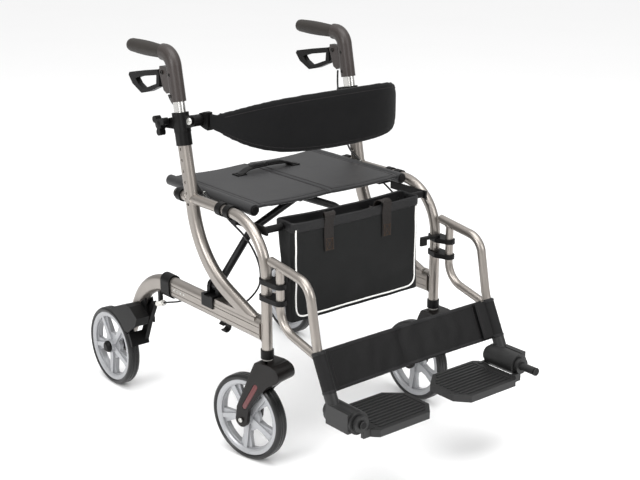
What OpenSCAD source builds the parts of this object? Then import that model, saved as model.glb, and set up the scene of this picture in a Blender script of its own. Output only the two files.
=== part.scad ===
// Folding rollator that doubles as a transport chair: two tube side frames joined by a knee brace,
// with swing-away foot hangers, loop brakes, a flip-over backrest band, a folding seat and a bag.
// Front is -Y, up is +Z, sizes are in millimetres and the wheels stand on z = 0.

/* [Frame] */
// half distance between the two side frames
side_x = 248; // [244:1:256]
// front post to rear axle
wheelbase = 606; // [602:1:612]
// diameter of the arch tube that forms the front post and the top rail
arch_d = 24; // [23:0.5:24.5]
// height of the top rail centre
top_rail_z = 553; // [551:1:556]
// centre-line radius of the arch bend
arch_r = 115; // [105:1:120]
// length of the top rail behind the front post
top_rail_len = 332; // [330:1:336]
// height of the lower rail centre
rail_z = 315; // [313:1:317]
// tall side of the lower rail
rail_h = 50; // [48:1:52]
// thickness of the lower rail
rail_w = 26; // [26:0.5:28]
// backward lean of the rear post in degrees
lean = 11; // [10.5:0.5:11.5]
// long side of the rear post section
post_h = 36; // [35:0.5:37]
// thickness of the rear post section
post_w = 25; // [25:0.5:25.5]
// tall side of the rear leg section
leg_h = 42; // [40:1:43]
// thickness of the rear leg section
leg_w = 24; // [22:1:25]

/* [Wheels] */
// wheel diameter, front and rear
wheel_d = 200; // [196:1:202]
// tyre width
tyre_w = 30; // [28:1:31]
// tyre thickness over the rim
tyre_t = 12; // [10:1:14]
// number of spokes
spoke_count = 5; // [4:1:6]
// distance of the caster axle behind the swivel axis
trail = 55; // [50:1:58]
// how far the right caster is turned, in degrees
right_turn = 12; // [0:1:20]
// how far the left caster is turned, in degrees
left_turn = 0; // [0:1:20]

/* [Handles] */
// height of the hand grip centre
grip_z = 871; // [868:1:876]
// length of the hand grip
grip_len = 142; // [130:1:150]
// hand grip diameter at its thickest
grip_d = 34; // [32:1:36]
// pitch of the height holes
hole_pitch = 25; // [20:1:25]
// number of height holes
hole_count = 6; // [4:1:6]

/* [Seat and backrest] */
// distance of the seat rail inward from the side frame
seat_in = 33; // [32:1:36]
// seat depth, front to back
seat_len = 333; // [325:1:340]
// thickness of the seat panel
seat_t = 12; // [10:0.5:13]
// height of the backrest band in the middle
band_h = 131; // [124:1:140]
// thickness of the backrest band in the middle
band_t = 26; // [20:1:30]
// how far the backrest band bows forward of its ends
band_bow = 189; // [170:1:195]
// bag half width
bag_half = 186; // [178:1:190]
// bag depth at its rim, front to back
bag_depth = 60; // [54:1:66]
// bag depth at its bottom
bag_base = 24; // [20:1:30]
// bag height
bag_h = 224; // [200:1:230]

/* [Foot hangers] */
// hanger tube diameter
hanger_d = 20; // [19:0.5:20.5]
// distance of the swing axis ahead of the front post
swing_v = 48; // [47:1:50]
// footplate width
plate_w = 178; // [165:1:182]
// footplate depth
plate_l = 136; // [128:1:140]
// footplate thickness
plate_t = 16; // [12:1:17]
// length of the left hinge pin that stands out in front
pin_out = 42; // [30:1:46]
// calf band width along the hanger tube
calf_h = 84; // [76:1:84]

/* [Hidden] */
$fn = 64;
RIGHT = -1;
LEFT = 1;
// running clearance between bodies that move
gap = 0.3;
// how far a straight tube reaches into its bend, and how much fuller the bend is
lap = 2;
full = 0.24;
// how far a cutter runs past what it cuts, along and across a side frame
cut = 1;
wide_cut = 30;
// wheel radius and place of the front post in the frame
wheel_r = wheel_d / 2;
pin_face_v = -301;
front_reach = pin_out - pin_face_v;
post_y = (front_reach - wheelbase - wheel_r) / 2;
// finishes
frame_c = "#a9a59f";
black_c = "#1b1b1d";
rubber_c = "#141416";
grey_c = "#d4d5d6";
steel_c = "#c9ccd0";
cloth_c = "#202022";

// Front post, stem and caster sizes
post_foot_z = 274;
cap_d = 29;
cap_h = 20;
stem_d = 12;
stem_top_z = 330;
crown_top_z = post_foot_z - cap_h - 4;
fork_half = 27.5;
fork_gap_half = 18.5;
tyre_room = 4;
inlay_mid = [29, 162];
inlay_turn = -59;
inlay_l = 78;
inlay_w = 13;
inlay_depth = 1.5;
axle_d = 12;

// Rear post points, top to bottom, in the side plane; the top keeps its distance below the grip
grip_rise = 171;
post_top_z = grip_z - grip_rise;
post_knee = [250, 410];
post_knee_r = 215;
post_end = [40, 325];
post_top = [post_knee[0] + (post_top_z - post_knee[1]) * tan(lean), post_top_z];
post_wall = 1.8;
post_bore_len = 146;
hole_d = 6.5;
hole_first = 38;
// Grip height at which the pivots of lever, knob and backrest were measured, and how far these go
// along the leaning post when the grip is set higher or lower
drawn_grip_z = 871;
post_shift = (grip_z - drawn_grip_z) * [tan(lean), 1];

// Lower rail and rear leg points
rail_v0 = arch_d / 2 - 1;
leg_run = 226;
leg_v0 = wheelbase - leg_run;
leg_r = 160;
rail_short = 6;
rail_v1 = leg_v0 - rail_short;
leg_axle = [wheelbase, wheel_r];
leg_start = [leg_v0, rail_z];
leg_slope = 0.614;
leg_knee = [wheelbase - (rail_z - wheel_r) * leg_slope, rail_z];
groove_w = 2.4;
groove_depth = 1.2;
groove_z = 8;
pad_v0 = 30;
pad_v1 = 182;
pad_w = post_w - 0.6;
collar_on_rail = 10;
collar_on_leg = 20;
collar_v0 = rail_v1 - collar_on_rail;
collar_v1 = leg_v0 + collar_on_leg;
collar_t = 4;
clip_v0 = 150;
rail_clip_w = 18;
rail_clip_d = 24;
rail_clip_bore = 16;
rail_clip_drop = 12;

// Wheel section
rim_r = wheel_r - tyre_t;
rim_half = tyre_w / 2 - 2;
rim_ring = 12;
well_r = rim_r - rim_ring;
hub_r = 17;
hub_half = 17;
web_half = 4.5;
rib_h = 5;
wheel_out = 32;
cap_r = 15;
cap_out = 11;

// Handle and clamp along the rear post axis, distances from the post top
tube_h = post_h - 2 * post_wall - 2 * gap;
tube_w = post_w - 2 * post_wall - 2 * gap;
tube_below = 142;
clamp_h = 44;
clamp_side = 46;
clamp_w = 30;
sleeve_h = 30;
sleeve_t = 3;
neck_t = 68;
housing_h = 38;
housing_w = 32;
bend_r = 34;
lever_pivot = [372, 826] + post_shift;
lever_t = 14;
lever_pin_d = 6;
lever_pin_half = 10;
lever_hub_d = 20;
lever_web_t = 8.4;
lever_outer = [[16, -2], [28, 2], [98, -10], [144, -19], [148, -26], [132, -44], [94, -61],
  [60, -53], [18, -36], [14, -26]];
lever_inner = [[26, -10], [94, -22], [118, -30], [108, -40], [86, -50], [62, -42], [28, -30]];
lever_web = [[-8, 6], [0, 10], [24, 3], [22, -30], [12, -30], [-6, -8]];
boss_t = 16;
boss_outline = [[-38, 13], [10, 13], [12, 0], [-4, -40], [-16, -46], [-44, -34]];
boss_slot_t = 9.2;
boss_slot = [[-12, 10], [40, 10], [40, -50], [4, -50], [-12, -12]];
tube_seat = 16;
grip_start = 36;
grip_swell = 2.2;
knob_pivot = [360, 712] + post_shift;
knob_r = 26;
knob_t = 15;
knob_u = -16;
knob_core_d = 24;
lobe_r = 8;
lobe_web = 12;
lobe_turns = [30, 150, 270];
knob_bolt_d = 8;
knob_nut_d = 14;
knob_ear_half = 12;
knob_ear_d = 20;
knob_rear = [post_top + [8, 6], post_top + [14, 34]];
slit_w = 2;
slit_start = 22;
slit_size = [60, 80];
back_ear_half = 6;
back_ear_d = 26;
back_arm = [post_top + [-10, 8], post_top + [0, 36]];
back_pivot = [260, 733] + post_shift;
back_bolt_d = 10;
back_u = 17;
back_block_t = 14;
back_outline = [[8, -12], [12, 4], [4, 14], [-14, 20], [-27.5, 20], [-27.5, -20], [-14, -18]];
band_tip = 27.5 + gap;
band_half = side_x - back_u - 10;
band_square = 0.67;
band_end_h = 38.5;
band_taper = 2.2;
band_lift = 10.5;
band_thin = 6;
band_n = 36;
band_m = 20;

// Seat, brace and bag
seat_v0 = 84;
cradle_v = [150, 308];
cradle_w = 18;
strap_t = 3.5;
cradle_drop = 27;
cradle_h = 17;
cradle_over = 6;
end_plug = 4;
pull_v = 234;
pull_w = 20;
pull_half = [[5, 84], [11, 84], [22, 56], [24, 20], [24, 0], [18, 0], [18, 22], [16, 52], [7, 72], [5, 72]];
seat_lip = 1.5;
seat_hollow = 3.5;
seat_fall = 2;
seat_parts = 16;
rail_out = 4;
seat_z = 561;
seat_rail_r = 10;
wrap_r = 13;
crease = 1.5;
brace_v = 217;
brace_off = 11.5;
brace_d = 18;
brace_foot = [15, 358];
brace_bend = [112, 474];
brace_bend_r = 70;
brace_top_z = 530;
brace_pin_d = 10;
brace_eye_half = 10;
brace_foot_d = 22;
brace_knee_d = 24;
knee_head_d = 17;
knee_head_t = 5;
block_half = 22;
block_slot = 22;
block_eye_d = 28;
block_skin = 3;
block_lid = 4;
block_ear_h = 18;
block_slot_w = 80;
bag_front_v = -8;
bag_top_z = 545;
bag_wall = 4;
bag_corner = 11;
loop_x = 84;
loop_w = 24;
loop_t = 3;
loop_low = 78;
loop_h = 72;
peg_v = 28;
peg_z = top_rail_z - 21;
peg_d = 9;
peg_head = 16;
hook_v = [16, 120, 138];
hook_drop = 30;
hook_u = 14;
hook_t = 5;
hook_h = 18;
bag_u = side_x - bag_half;

// Hanger tube points in the side plane
hang_top = [-17, 479];
hang_bend = [-146, 461];
hang_low = [-171, 330];
hang_end = [-226, 216];
dee_bend = [-swing_v, 342];
dee_end = [-178, 309];
hang_bend_r = 45;
hang_low_r = 120;
dee_bend_r = 55;
swing_d = hanger_d - 1.5;
clamp_z = [426, 389];
clip_h = 11;
clip_t = 4;
release_v = -22;
release_u = 15;
release_r = 7;
release_tip_r = 5;
release_reach = 42;
release_t = 6;
release_pin_d = 5;
release_tab_r = 4;
release_tab = [32, 44];
release_tab_h = 16;
release_tab_drop = 14;
calf_drop = 10;
calf_t = 5;
calf_sag = 26;
calf_parts = 14;

// Foot hinge
barrel_r = 25;
barrel_z = 203;
barrel_u = 12;
barrel_v1 = -206;
lug_t = 9;
pin_d = 18;
plate_v0 = -316;
plate_u0 = 34;
plate_z = 170;
tread_depth = 1.5;
lug_d = 36;
lug_foot_h = 18;
short_pin = 5;
saddle_drop = 20;
saddle_h = 44;
saddle_t = 14;
socket = [[-212, 245], [-232, 203]];
socket_t = 4;

// Brake at the rear wheel
shoe_pivot = leg_axle + [-120, 98];
shoe_pad_a = [146, 164];
shoe_gap = 4;
shoe_arm_end = shoe_pivot + [-30, 48];
shoe_t = 12;
shoe_hub_d = 18;
shoe_pin_d = 8;
shoe_pad_t = 9;
shoe_pad_end = 5;
shoe_web = [shoe_pivot + [-8, -4], shoe_arm_end + [-6, 2], shoe_arm_end + [6, 6], shoe_pivot + [8, 4],
  shoe_pivot + [30, -40], shoe_pivot + [15, -58]];
cover_outline = [[-24, 113], [-92, 139], [-110, 137], [-143, 116], [-134, 94], [-96, 66], [-30, 70]];
shoe_ear = [[-9, -8], [8, -9], [30, 32], [14, 46], [-4, 58]];
shoe_ear_u = [-11.4, 7.4];
shoe_ear_t = 4;
shoe_pin_half = 15;
shoe_room_at = [-30, -70, 3];
shoe_room = [70, 62, 60];
cable_stop = [shoe_arm_end[0] - 32, shoe_arm_end[1] + 12, -4];
cable_stop_size = [10, 40, 8];

// Places children in the side plane: x runs back from the front post, y is up, z points inward
module on_side(s)
  mirror([s > 0 ? 1 : 0, 0, 0]) translate([-side_x, post_y, 0]) rotate([90, 0, 90]) children();

// Places children in a cross plane: x points inward from the side frame, y is up, z points forward
module on_cross(s, v)
  mirror([s > 0 ? 1 : 0, 0, 0]) translate([-side_x, post_y + v, 0]) rotate([90, 0, 0]) children();

// Straight run of a section between two points of a plane
module straight(p, q) {
  d = q - p;
  translate([p[0], p[1], 0]) rotate([0, 0, atan2(d[1], d[0])])
    rotate([90, 0, 90]) linear_extrude(norm(d)) children();
}

// Corner geometry: tangent points, centre, start angle and sweep of a bend at b
function unit(d) = d / norm(d);
function half_angle(a, b, c) = acos(unit(a - b) * unit(c - b)) / 2;
function tangent(a, b, c, r) = b + unit(a - b) * r / tan(half_angle(a, b, c));
function bend_centre(a, b, c, r) = b + unit(unit(a - b) + unit(c - b)) * r / sin(half_angle(a, b, c));
function turn_of(d) = atan2(d[1], d[0]);
function wrap_angle(t) = t > 180 ? t - 360 : t < -180 ? t + 360 : t;

// Bend of a section around the corner b
module corner(a, b, c, r) {
  o = bend_centre(a, b, c, r);
  t0 = turn_of(tangent(a, b, c, r) - o);
  sweep = wrap_angle(turn_of(tangent(c, b, a, r) - o) - t0);
  translate([o[0], o[1], 0]) rotate([0, 0, sweep > 0 ? t0 : t0 + sweep])
    rotate_extrude(angle = abs(sweep)) translate([r, 0]) children();
}

// Tube through three points with one bend: the second child is the fuller section of the bend
module one_bend(a, b, c, r) {
  straight(a, into_bend(a, b, c, r)) children(0);
  corner(a, b, c, r) children(1);
  straight(into_bend(c, b, a, r), c) children(0);
}

// End of a straight run from a, reaching a little into the bend at b
function into_bend(a, b, c, r) = tangent(a, b, c, r) + unit(b - a) * lap;

// Rounded section, long side along x
module stadium(long, wide) {
  square([long - wide, wide], center = true);
  translate([(long - wide) / 2, 0]) circle(d = wide);
  translate([(wide - long) / 2, 0]) circle(d = wide);
}

// Upright cylinder in the side plane
module upright(v, u, z0, z1, d)
  translate([v, z0, u]) rotate([-90, 0, 0]) cylinder(d = d, h = z1 - z0);

// Cylinder that lies front to back in the side plane
module lying(v0, v1, z, u, d)
  translate([v0, z, u]) rotate([0, 90, 0]) cylinder(d = d, h = v1 - v0);

// Cylinder across the side plane
module across(p, u0, u1, d)
  translate([p[0], p[1], u0]) cylinder(d = d, h = u1 - u0);

// Children in the frame of the rear post axis: x to the rear, y up the post from its top
module on_post()
  translate([post_top[0], post_top[1], 0]) rotate([0, 0, -lean]) children();

// Run along the post axis with a section whose long side lies front to back
module up_post(t0, t1)
  on_post() straight([0, t0], [0, t1]) children();

// Solid outline of the rear post, used for the post and for the cuts that meet it
module post_body()
  one_bend(post_top, post_knee, post_end, post_knee_r) {
    stadium(post_h, post_w);
    stadium(post_h + full, post_w + full);
  }

// Solid outline of the lower rail
module rail_body()
  straight([rail_v0, rail_z], [rail_v1, rail_z]) stadium(rail_h, rail_w);

// Solid outline of the rear leg
module leg_body()
  one_bend(leg_start, leg_knee, leg_axle, leg_r) {
    stadium(leg_h, leg_w);
    stadium(leg_h + full, leg_w + full);
  }

// Front post, arch and top rail from one bent tube, coped at the rear post
module arch_tube(s)
  color(frame_c) on_side(s) difference() {
    one_bend([0, post_foot_z], [0, top_rail_z], [top_rail_len, top_rail_z], arch_r) {
      circle(d = arch_d);
      circle(d = arch_d + full);
    }
    post_body();
    upright(0, 0, post_foot_z - 1, stem_top_z + 4, stem_d + 2 * gap);
  }

// Rear post with its curved foot, bored for the handle tube and drilled for the height holes
module rear_post(s)
  color(frame_c) on_side(s) difference() {
    post_body();
    translate([0, rail_z - rail_h, -rail_w]) cube([post_knee[0], 1.5 * rail_h, 2 * rail_w]);
    up_post(-post_bore_len, 1) stadium(post_h - 2 * post_wall, post_w - 2 * post_wall);
    for (i = [0 : hole_count - 1])
      on_post() across([0, -hole_first - i * hole_pitch], -post_w, post_w, hole_d);
  }

// Lower rail with a raised band between two grooves on each face and a pad for the post foot
module lower_rail(s)
  color(frame_c) on_side(s) difference() {
    union() {
      rail_body();
      translate([pad_v0, rail_z, -pad_w / 2]) cube([pad_v1 - pad_v0, rail_h / 2, pad_w]);
    }
    upright(0, 0, rail_z - rail_h, rail_z + rail_h, arch_d);
    for (f = [-1, 1], g = [-1, 1])
      translate([rail_v0 - 1, rail_z + g * groove_z - groove_w / 2, f * rail_w / 2 - groove_depth])
        cube([rail_v1 - rail_v0 + 2, groove_w, 2 * groove_depth]);
  }

// Rear leg with its welded stub axle
module rear_leg(s)
  color(frame_c) on_side(s) {
    leg_body();
    across(leg_axle, -leg_w / 2 - 1, leg_w / 2 + 1, leg_h + 6);
    across(leg_axle, -wheel_out - hub_half - 4, leg_w / 2, axle_d);
  }

// Split clamp on the post top, with a sleeve, rear ears for the knob and a front ear for the backrest
module post_clamp(s)
  color(black_c) on_side(s) difference() {
    union() {
      up_post(-sleeve_h, 0) stadium(post_h + 2 * sleeve_t, post_w + 2 * sleeve_t);
      up_post(0, clamp_h) stadium(clamp_side, clamp_w);
      across(back_pivot, -back_ear_half, back_u - gap, back_ear_d);
      translate([0, 0, -back_ear_half]) linear_extrude(2 * back_ear_half)
        polygon(concat([back_pivot + [0, back_ear_d / 2], back_pivot - [0, back_ear_d / 2]], back_arm));
      translate([0, 0, -knob_ear_half]) linear_extrude(2 * knob_ear_half)
        polygon(concat(knob_rear, [knob_pivot + [0, knob_ear_d / 2], knob_pivot - [0, knob_ear_d / 2]]));
      across(knob_pivot, -knob_ear_half, knob_ear_half, knob_ear_d);
    }
    up_post(-sleeve_h - cut, 0) stadium(post_h, post_w);
    up_post(-cut, clamp_h + cut) stadium(tube_h + 2 * gap, tube_w + 2 * gap);
    across(back_pivot, -wide_cut, wide_cut, back_bolt_d + 2 * gap);
    across(knob_pivot, -wide_cut, wide_cut, knob_bolt_d + 2 * gap);
    translate([post_top[0] + slit_start, knob_pivot[1] - slit_size[1] / 2, -slit_w / 2])
      cube([slit_size[0], slit_size[1], slit_w]);
  }

// Three-lobed clamp knob with its bolt and nut
module height_knob(s)
  color(black_c) on_side(s) {
    translate([knob_pivot[0], knob_pivot[1], knob_u - knob_t]) linear_extrude(knob_t) {
      circle(d = knob_core_d);
      for (a = lobe_turns) rotate([0, 0, a]) {
        translate([knob_r - lobe_r, 0]) circle(r = lobe_r);
        translate([0, -lobe_web / 2]) square([knob_r - lobe_r, lobe_web]);
      }
    }
    across(knob_pivot, knob_u - 1, 19, knob_bolt_d);
    across(knob_pivot, knob_u - 2, -12.4, knob_nut_d);
    across(knob_pivot, 12.4, 18, knob_nut_d);
  }

// Collar where the lower rail meets the rear leg
module collar()
  difference() {
    straight([collar_v0, rail_z], [collar_v1, rail_z])
      stadium(rail_h + 2 * collar_t, rail_w + 2 * collar_t);
    rail_body();
    leg_body();
  }

// Cradle that hangs on the top rail and carries the seat rail
module cradle(v)
  translate([v, 0, 0]) difference() {
    union() {
      straight([0, top_rail_z], [cradle_w, top_rail_z]) circle(d = arch_d + 2 * strap_t);
      translate([0, seat_z - cradle_drop, cradle_over]) cube([cradle_w, cradle_h, seat_in + cradle_over]);
    }
    lying(-cut, cradle_w + cut, top_rail_z, 0, arch_d);
    lying(-cut, cradle_w + cut, seat_z, seat_in, 2 * wrap_r + 2 * gap);
  }

// Two-eared block that carries the brace foot
module brace_block(s)
  translate([brace_v + s * brace_off, 0, 0]) difference() {
    union() {
      translate([-block_half, rail_z, -rail_w / 2 - block_skin])
        cube([2 * block_half, rail_h / 2 + block_lid, rail_w + 2 * block_skin]);
      translate([-block_half, rail_z + rail_h / 2, 0]) cube([2 * block_half, block_ear_h, block_eye_d]);
      lying(-block_half, block_half, brace_foot[1], brace_foot[0], block_eye_d);
    }
    rail_outline_cut();
    translate([-block_slot / 2, rail_z + rail_h / 2 + cut, -wide_cut])
      cube([block_slot, 2 * wide_cut, block_slot_w]);
    lying(-wide_cut, wide_cut, brace_foot[1], brace_foot[0], brace_pin_d);
  }

// The lower rail section as a long cutter for blocks that sit on it
module rail_outline_cut()
  straight([-2 * wide_cut, rail_z], [2 * wide_cut, rail_z]) stadium(rail_h, rail_w);

// Forked clip under the lower rail
module rail_clip() {
  low = rail_z - rail_h / 2;
  difference() {
    union() {
      lying(clip_v0, clip_v0 + rail_clip_w, low - rail_clip_drop, 0, rail_clip_d);
      translate([clip_v0, low - 6, -6]) cube([rail_clip_w, 8, 12]);
    }
    rail_body();
    lying(clip_v0 - cut, clip_v0 + rail_clip_w + cut, low - rail_clip_drop, 0, rail_clip_bore);
    translate([clip_v0 - cut, low - wide_cut, -wide_cut]) cube([rail_clip_w + 2 * cut, 24, 26]);
  }
}

// Arm and peg that hold the top corner of the bag
module bag_hook()
  difference() {
    union() {
      straight([hook_v[1], top_rail_z], [hook_v[2], top_rail_z]) circle(d = arch_d + 2 * strap_t);
      translate([hook_v[0], top_rail_z - hook_drop, hook_u]) cube([hook_v[2] - hook_v[0], hook_h, hook_t]);
      translate([hook_v[1], top_rail_z - hook_drop, 8]) cube([hook_v[2] - hook_v[1], 24, 11]);
      across([peg_v, peg_z], hook_u, bag_u + bag_wall + 6, peg_d);
      across([peg_v, peg_z], hook_u, bag_u - gap, peg_head);
      across([peg_v, peg_z], bag_u + bag_wall + gap, bag_u + bag_wall + 4, peg_head);
    }
    lying(hook_v[1] - cut, hook_v[2] + cut, top_rail_z, 0, arch_d);
  }

// Moulded fittings of one side frame
module fittings(s)
  color(black_c) on_side(s) {
    pin_v = brace_v + s * brace_off;
    collar();
    for (v = cradle_v) cradle(v);
    lying(top_rail_len, top_rail_len + end_plug, top_rail_z, 0, arch_d);
    brace_block(s);
    lying(pin_v - block_half, pin_v + block_half, brace_foot[1], brace_foot[0], brace_pin_d);
    rail_clip();
    bag_hook();
    difference() {
      upright(0, 0, post_foot_z - cap_h, post_foot_z, cap_d);
      upright(0, 0, post_foot_z - cap_h - cut, post_foot_z + cut, stem_d + 2 * gap);
    }
  }

// Two clips that carry the swing tube of the foot hanger on the front post
module hanger_clamps(s)
  color(black_c) on_side(s) for (z = clamp_z)
    difference() {
      translate([0, z, 0]) rotate([-90, 0, 0]) linear_extrude(clip_h) hull() {
        circle(d = arch_d + 2 * clip_t);
        translate([-swing_v, 0]) circle(d = swing_d + 2 * clip_t);
        translate([release_v, -release_u]) circle(r = release_r);
      }
      upright(0, 0, z - cut, z + clip_h + cut, arch_d);
      upright(-swing_v, 0, z - cut, z + clip_h + cut, swing_d + 2 * gap);
      upright(release_v, release_u, z - cut, z + clip_h + cut, release_pin_d + 2 * gap);
    }

// Brake cover beside the leg, the bracket of the shoe and the cable stop
module brake_box(s)
  color(black_c) on_side(s) difference() {
    union() {
      translate([0, 0, -wheel_out - tyre_w / 2 - 2]) linear_extrude(tyre_w + 6)
        polygon([for (p = cover_outline) leg_axle + p]);
      for (u = shoe_ear_u) translate([0, 0, u]) linear_extrude(shoe_ear_t)
        polygon([for (p = shoe_ear) shoe_pivot + p]);
      across(shoe_pivot, -shoe_pin_half, shoe_pin_half, shoe_pin_d);
      translate(cable_stop) cube(cable_stop_size);
    }
    leg_body();
    straight(adjuster[0], adjuster[1]) circle(d = adjuster_d + 2 * gap);
    across(leg_axle, -wheel_out - tyre_w, leg_w, wheel_d + 2 * tyre_room);
    translate([shoe_pivot[0], shoe_pivot[1], -wheel_out - tyre_w / 2] + shoe_room_at) cube(shoe_room);
  }

// Brake shoe: a rocking arm with a pad in front of the tyre
module brake_shoe(s)
  color(black_c) on_side(s) difference() {
    union() {
      across(shoe_pivot, -shoe_t / 2, shoe_t / 2, shoe_hub_d);
      translate([0, 0, -shoe_t / 2]) linear_extrude(shoe_t) polygon(shoe_web);
      translate([leg_axle[0], leg_axle[1], shoe_pad_end - wheel_out - tyre_w / 2 - 2])
        rotate([0, 0, shoe_pad_a[0]]) rotate_extrude(angle = shoe_pad_a[1] - shoe_pad_a[0])
          translate([wheel_r + shoe_gap, 0]) square([shoe_pad_t, wheel_out + tyre_w / 2 + 2]);
    }
    across(shoe_pivot, -wide_cut, wide_cut, shoe_pin_d + 2 * gap);
  }

// Height tube of the handle
module handle_tube(s)
  color(steel_c) on_side(s) up_post(-tube_below, neck_t + tube_seat) stadium(tube_h, tube_w);

// Grip end of the handle axis: the corner point where the tube axis meets the grip axis
handle_corner = [post_top[0] + (grip_z - post_top[1]) * tan(lean), grip_z];
grip_v0 = handle_corner[0] + grip_start;

// Handle housing that turns from the tube into the grip, with the lever boss behind it
module housing(s)
  color(black_c) on_side(s) difference() {
    union() {
      one_bend(post_top + neck_t * [sin(lean), cos(lean)], handle_corner, [grip_v0, grip_z], bend_r) {
        stadium(housing_h, housing_w);
        stadium(housing_h + full, housing_w + full);
      }
      translate([0, 0, -boss_t / 2]) linear_extrude(boss_t) polygon([for (p = boss_outline) lever_pivot + p]);
    }
    up_post(neck_t - cut, neck_t + tube_seat) stadium(tube_h, tube_w);
    translate([0, 0, -boss_slot_t / 2]) linear_extrude(boss_slot_t)
      polygon([for (p = boss_slot) lever_pivot + p]);
    across(lever_pivot, -wide_cut, wide_cut, lever_pin_d + 2 * gap);
  }

// Half width of the hand grip along its length, a palm swell with a waist and a round end
function grip_r(f) = grip_d / 2 - grip_swell + grip_swell * pow(sin(f * 150 + 10), 2)
  - (f > 0.93 ? 7 * pow((f - 0.93) / 0.07, 2) : 0);

// Rubber hand grip
module grip(s)
  color(rubber_c) on_side(s) translate([grip_v0, grip_z, 0]) rotate([0, 90, 0])
    rotate_extrude() polygon(concat([[0, 0]],
      [for (i = [0 : 24]) [grip_r(i / 24), grip_len * i / 24]], [[0, grip_len]]));

// Loop lever of the brake with its pivot pin
module brake_lever(s)
  color(black_c) on_side(s) {
    translate([0, 0, -lever_t / 2]) linear_extrude(lever_t) difference() {
      polygon([for (p = lever_outer) lever_pivot + p]);
      polygon([for (p = lever_inner) lever_pivot + p]);
    }
    translate([0, 0, -lever_web_t / 2]) linear_extrude(lever_web_t)
      polygon([for (p = lever_web) lever_pivot + p]);
    across(lever_pivot, -lever_web_t / 2, lever_web_t / 2, lever_hub_d);
    across(lever_pivot, -lever_pin_half, lever_pin_half, lever_pin_d);
  }

// Brake cable route on the side plane: back from the post, up, inward
cable_route = [[360, 776, 0], [356, 762, 4], [346, 744, 12], [336, 724, 18], [328, 690, 18.6],
  [318, 650, 17.5], [308, 615, 16.2], [292, 590, 16.2], [262, 572, 16.2], [225, 556, 16.2], [184, 538, 16.2],
  [144, 520, 17], [104, 500, 20], [72, 472, 22], [52, 438, 22], [54, 402, 21], [78, 370, 19.5],
  [112, 342, 18.4], [152, 322, 18.8], [200, 312, 19], [250, 310, 19], [300, 306, 17.5], [336, 290, 15],
  [362, 277, 10], [388, 269, 5], [412, 262, 0], [446, 249.3, 0]];
adjuster = [[414, 261.2], [444, 250]];
adjuster_d = 13;
cable_r = 2.3;
cable_sides = 8;

// Closed skin through rings of n points each, with both end rings capped
module skin(rings, n)
  polyhedron([for (ring = rings) each ring],
    concat([[for (k = [0 : n - 1]) k]],
      [for (i = [0 : len(rings) - 2], k = [0 : n - 1])
        [i * n + k, (i + 1) * n + k, (i + 1) * n + (k + 1) % n, i * n + (k + 1) % n]],
      [[for (k = [n - 1 : -1 : 0]) (len(rings) - 1) * n + k]]));

// Closed tube swept through a list of points
module swept(pts, r, n) {
  last = len(pts) - 1;
  dirs = [for (i = [0 : last]) unit(pts[min(i + 1, last)] - pts[max(i - 1, 0)])];
  skin([for (i = [0 : last]) let (a = unit(cross(dirs[i], [0.1, 0.2, 1])), b = cross(dirs[i], a))
    [for (k = [0 : n - 1]) pts[i] + r * (cos(360 * k / n) * a + sin(360 * k / n) * b)]], n);
}

// Smooth points between the route points
function spline(p, i, f) = let (a = p[max(i - 1, 0)], b = p[i], c = p[i + 1], d = p[min(i + 2, len(p) - 1)])
  0.5 * ((2 * b) + (c - a) * f + (2 * a - 5 * b + 4 * c - d) * f * f + (3 * b - a - 3 * c + d) * f * f * f);

// Whole route with n smooth steps between its points
function smooth_route(p, n) =
  concat([for (i = [0 : len(p) - 2], k = [0 : n - 1]) spline(p, i, k / n)], [p[len(p) - 1]]);

// Brake cable with its adjuster barrel
module brake_cable(s)
  color(rubber_c) on_side(s) {
    swept(smooth_route(cable_route, 3), cable_r, cable_sides);
    straight(adjuster[0], adjuster[1]) circle(d = adjuster_d);
  }

// Bent brace arm from the lower rail to the middle knee; the right one carries the knee bolt
module brace(s)
  color(black_c) on_cross(s, brace_v + s * brace_off) {
    difference() {
      union() {
        one_bend(brace_foot, brace_bend, [side_x, brace_top_z], brace_bend_r) {
          circle(d = brace_d);
          circle(d = brace_d + full);
        }
        translate([brace_foot[0], brace_foot[1], -brace_eye_half])
          cylinder(d = brace_foot_d, h = 2 * brace_eye_half);
        translate([side_x, brace_top_z, -brace_eye_half]) cylinder(d = brace_knee_d, h = 2 * brace_eye_half);
      }
      translate([brace_foot[0], brace_foot[1], -wide_cut])
        cylinder(d = brace_pin_d + 2 * gap, h = 2 * wide_cut);
      translate([side_x, brace_top_z, -wide_cut])
        cylinder(d = brace_pin_d + (s > 0 ? 2 * gap : 0), h = 2 * wide_cut);
    }
    if (s < 0) knee_bolt();
  }

// Bolt through both brace arms at the knee, with a head behind and in front
module knee_bolt() {
  far = 2 * brace_off + brace_eye_half;
  translate([side_x, brace_top_z, -far - 2 * gap])
    cylinder(d = brace_pin_d, h = far + brace_eye_half + 2 * gap + 0.4);
  translate([side_x, brace_top_z, -far - knee_head_t]) cylinder(d = knee_head_d, h = knee_head_t - 0.4);
  translate([side_x, brace_top_z, brace_eye_half]) cylinder(d = knee_head_d, h = knee_head_t);
}

// Height of the seat top over the seat rail centre, a shallow hollow between rail and crease
function seat_top(f) = wrap_r - seat_lip - seat_hollow * sin(180 * f) - seat_fall * f;

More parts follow.
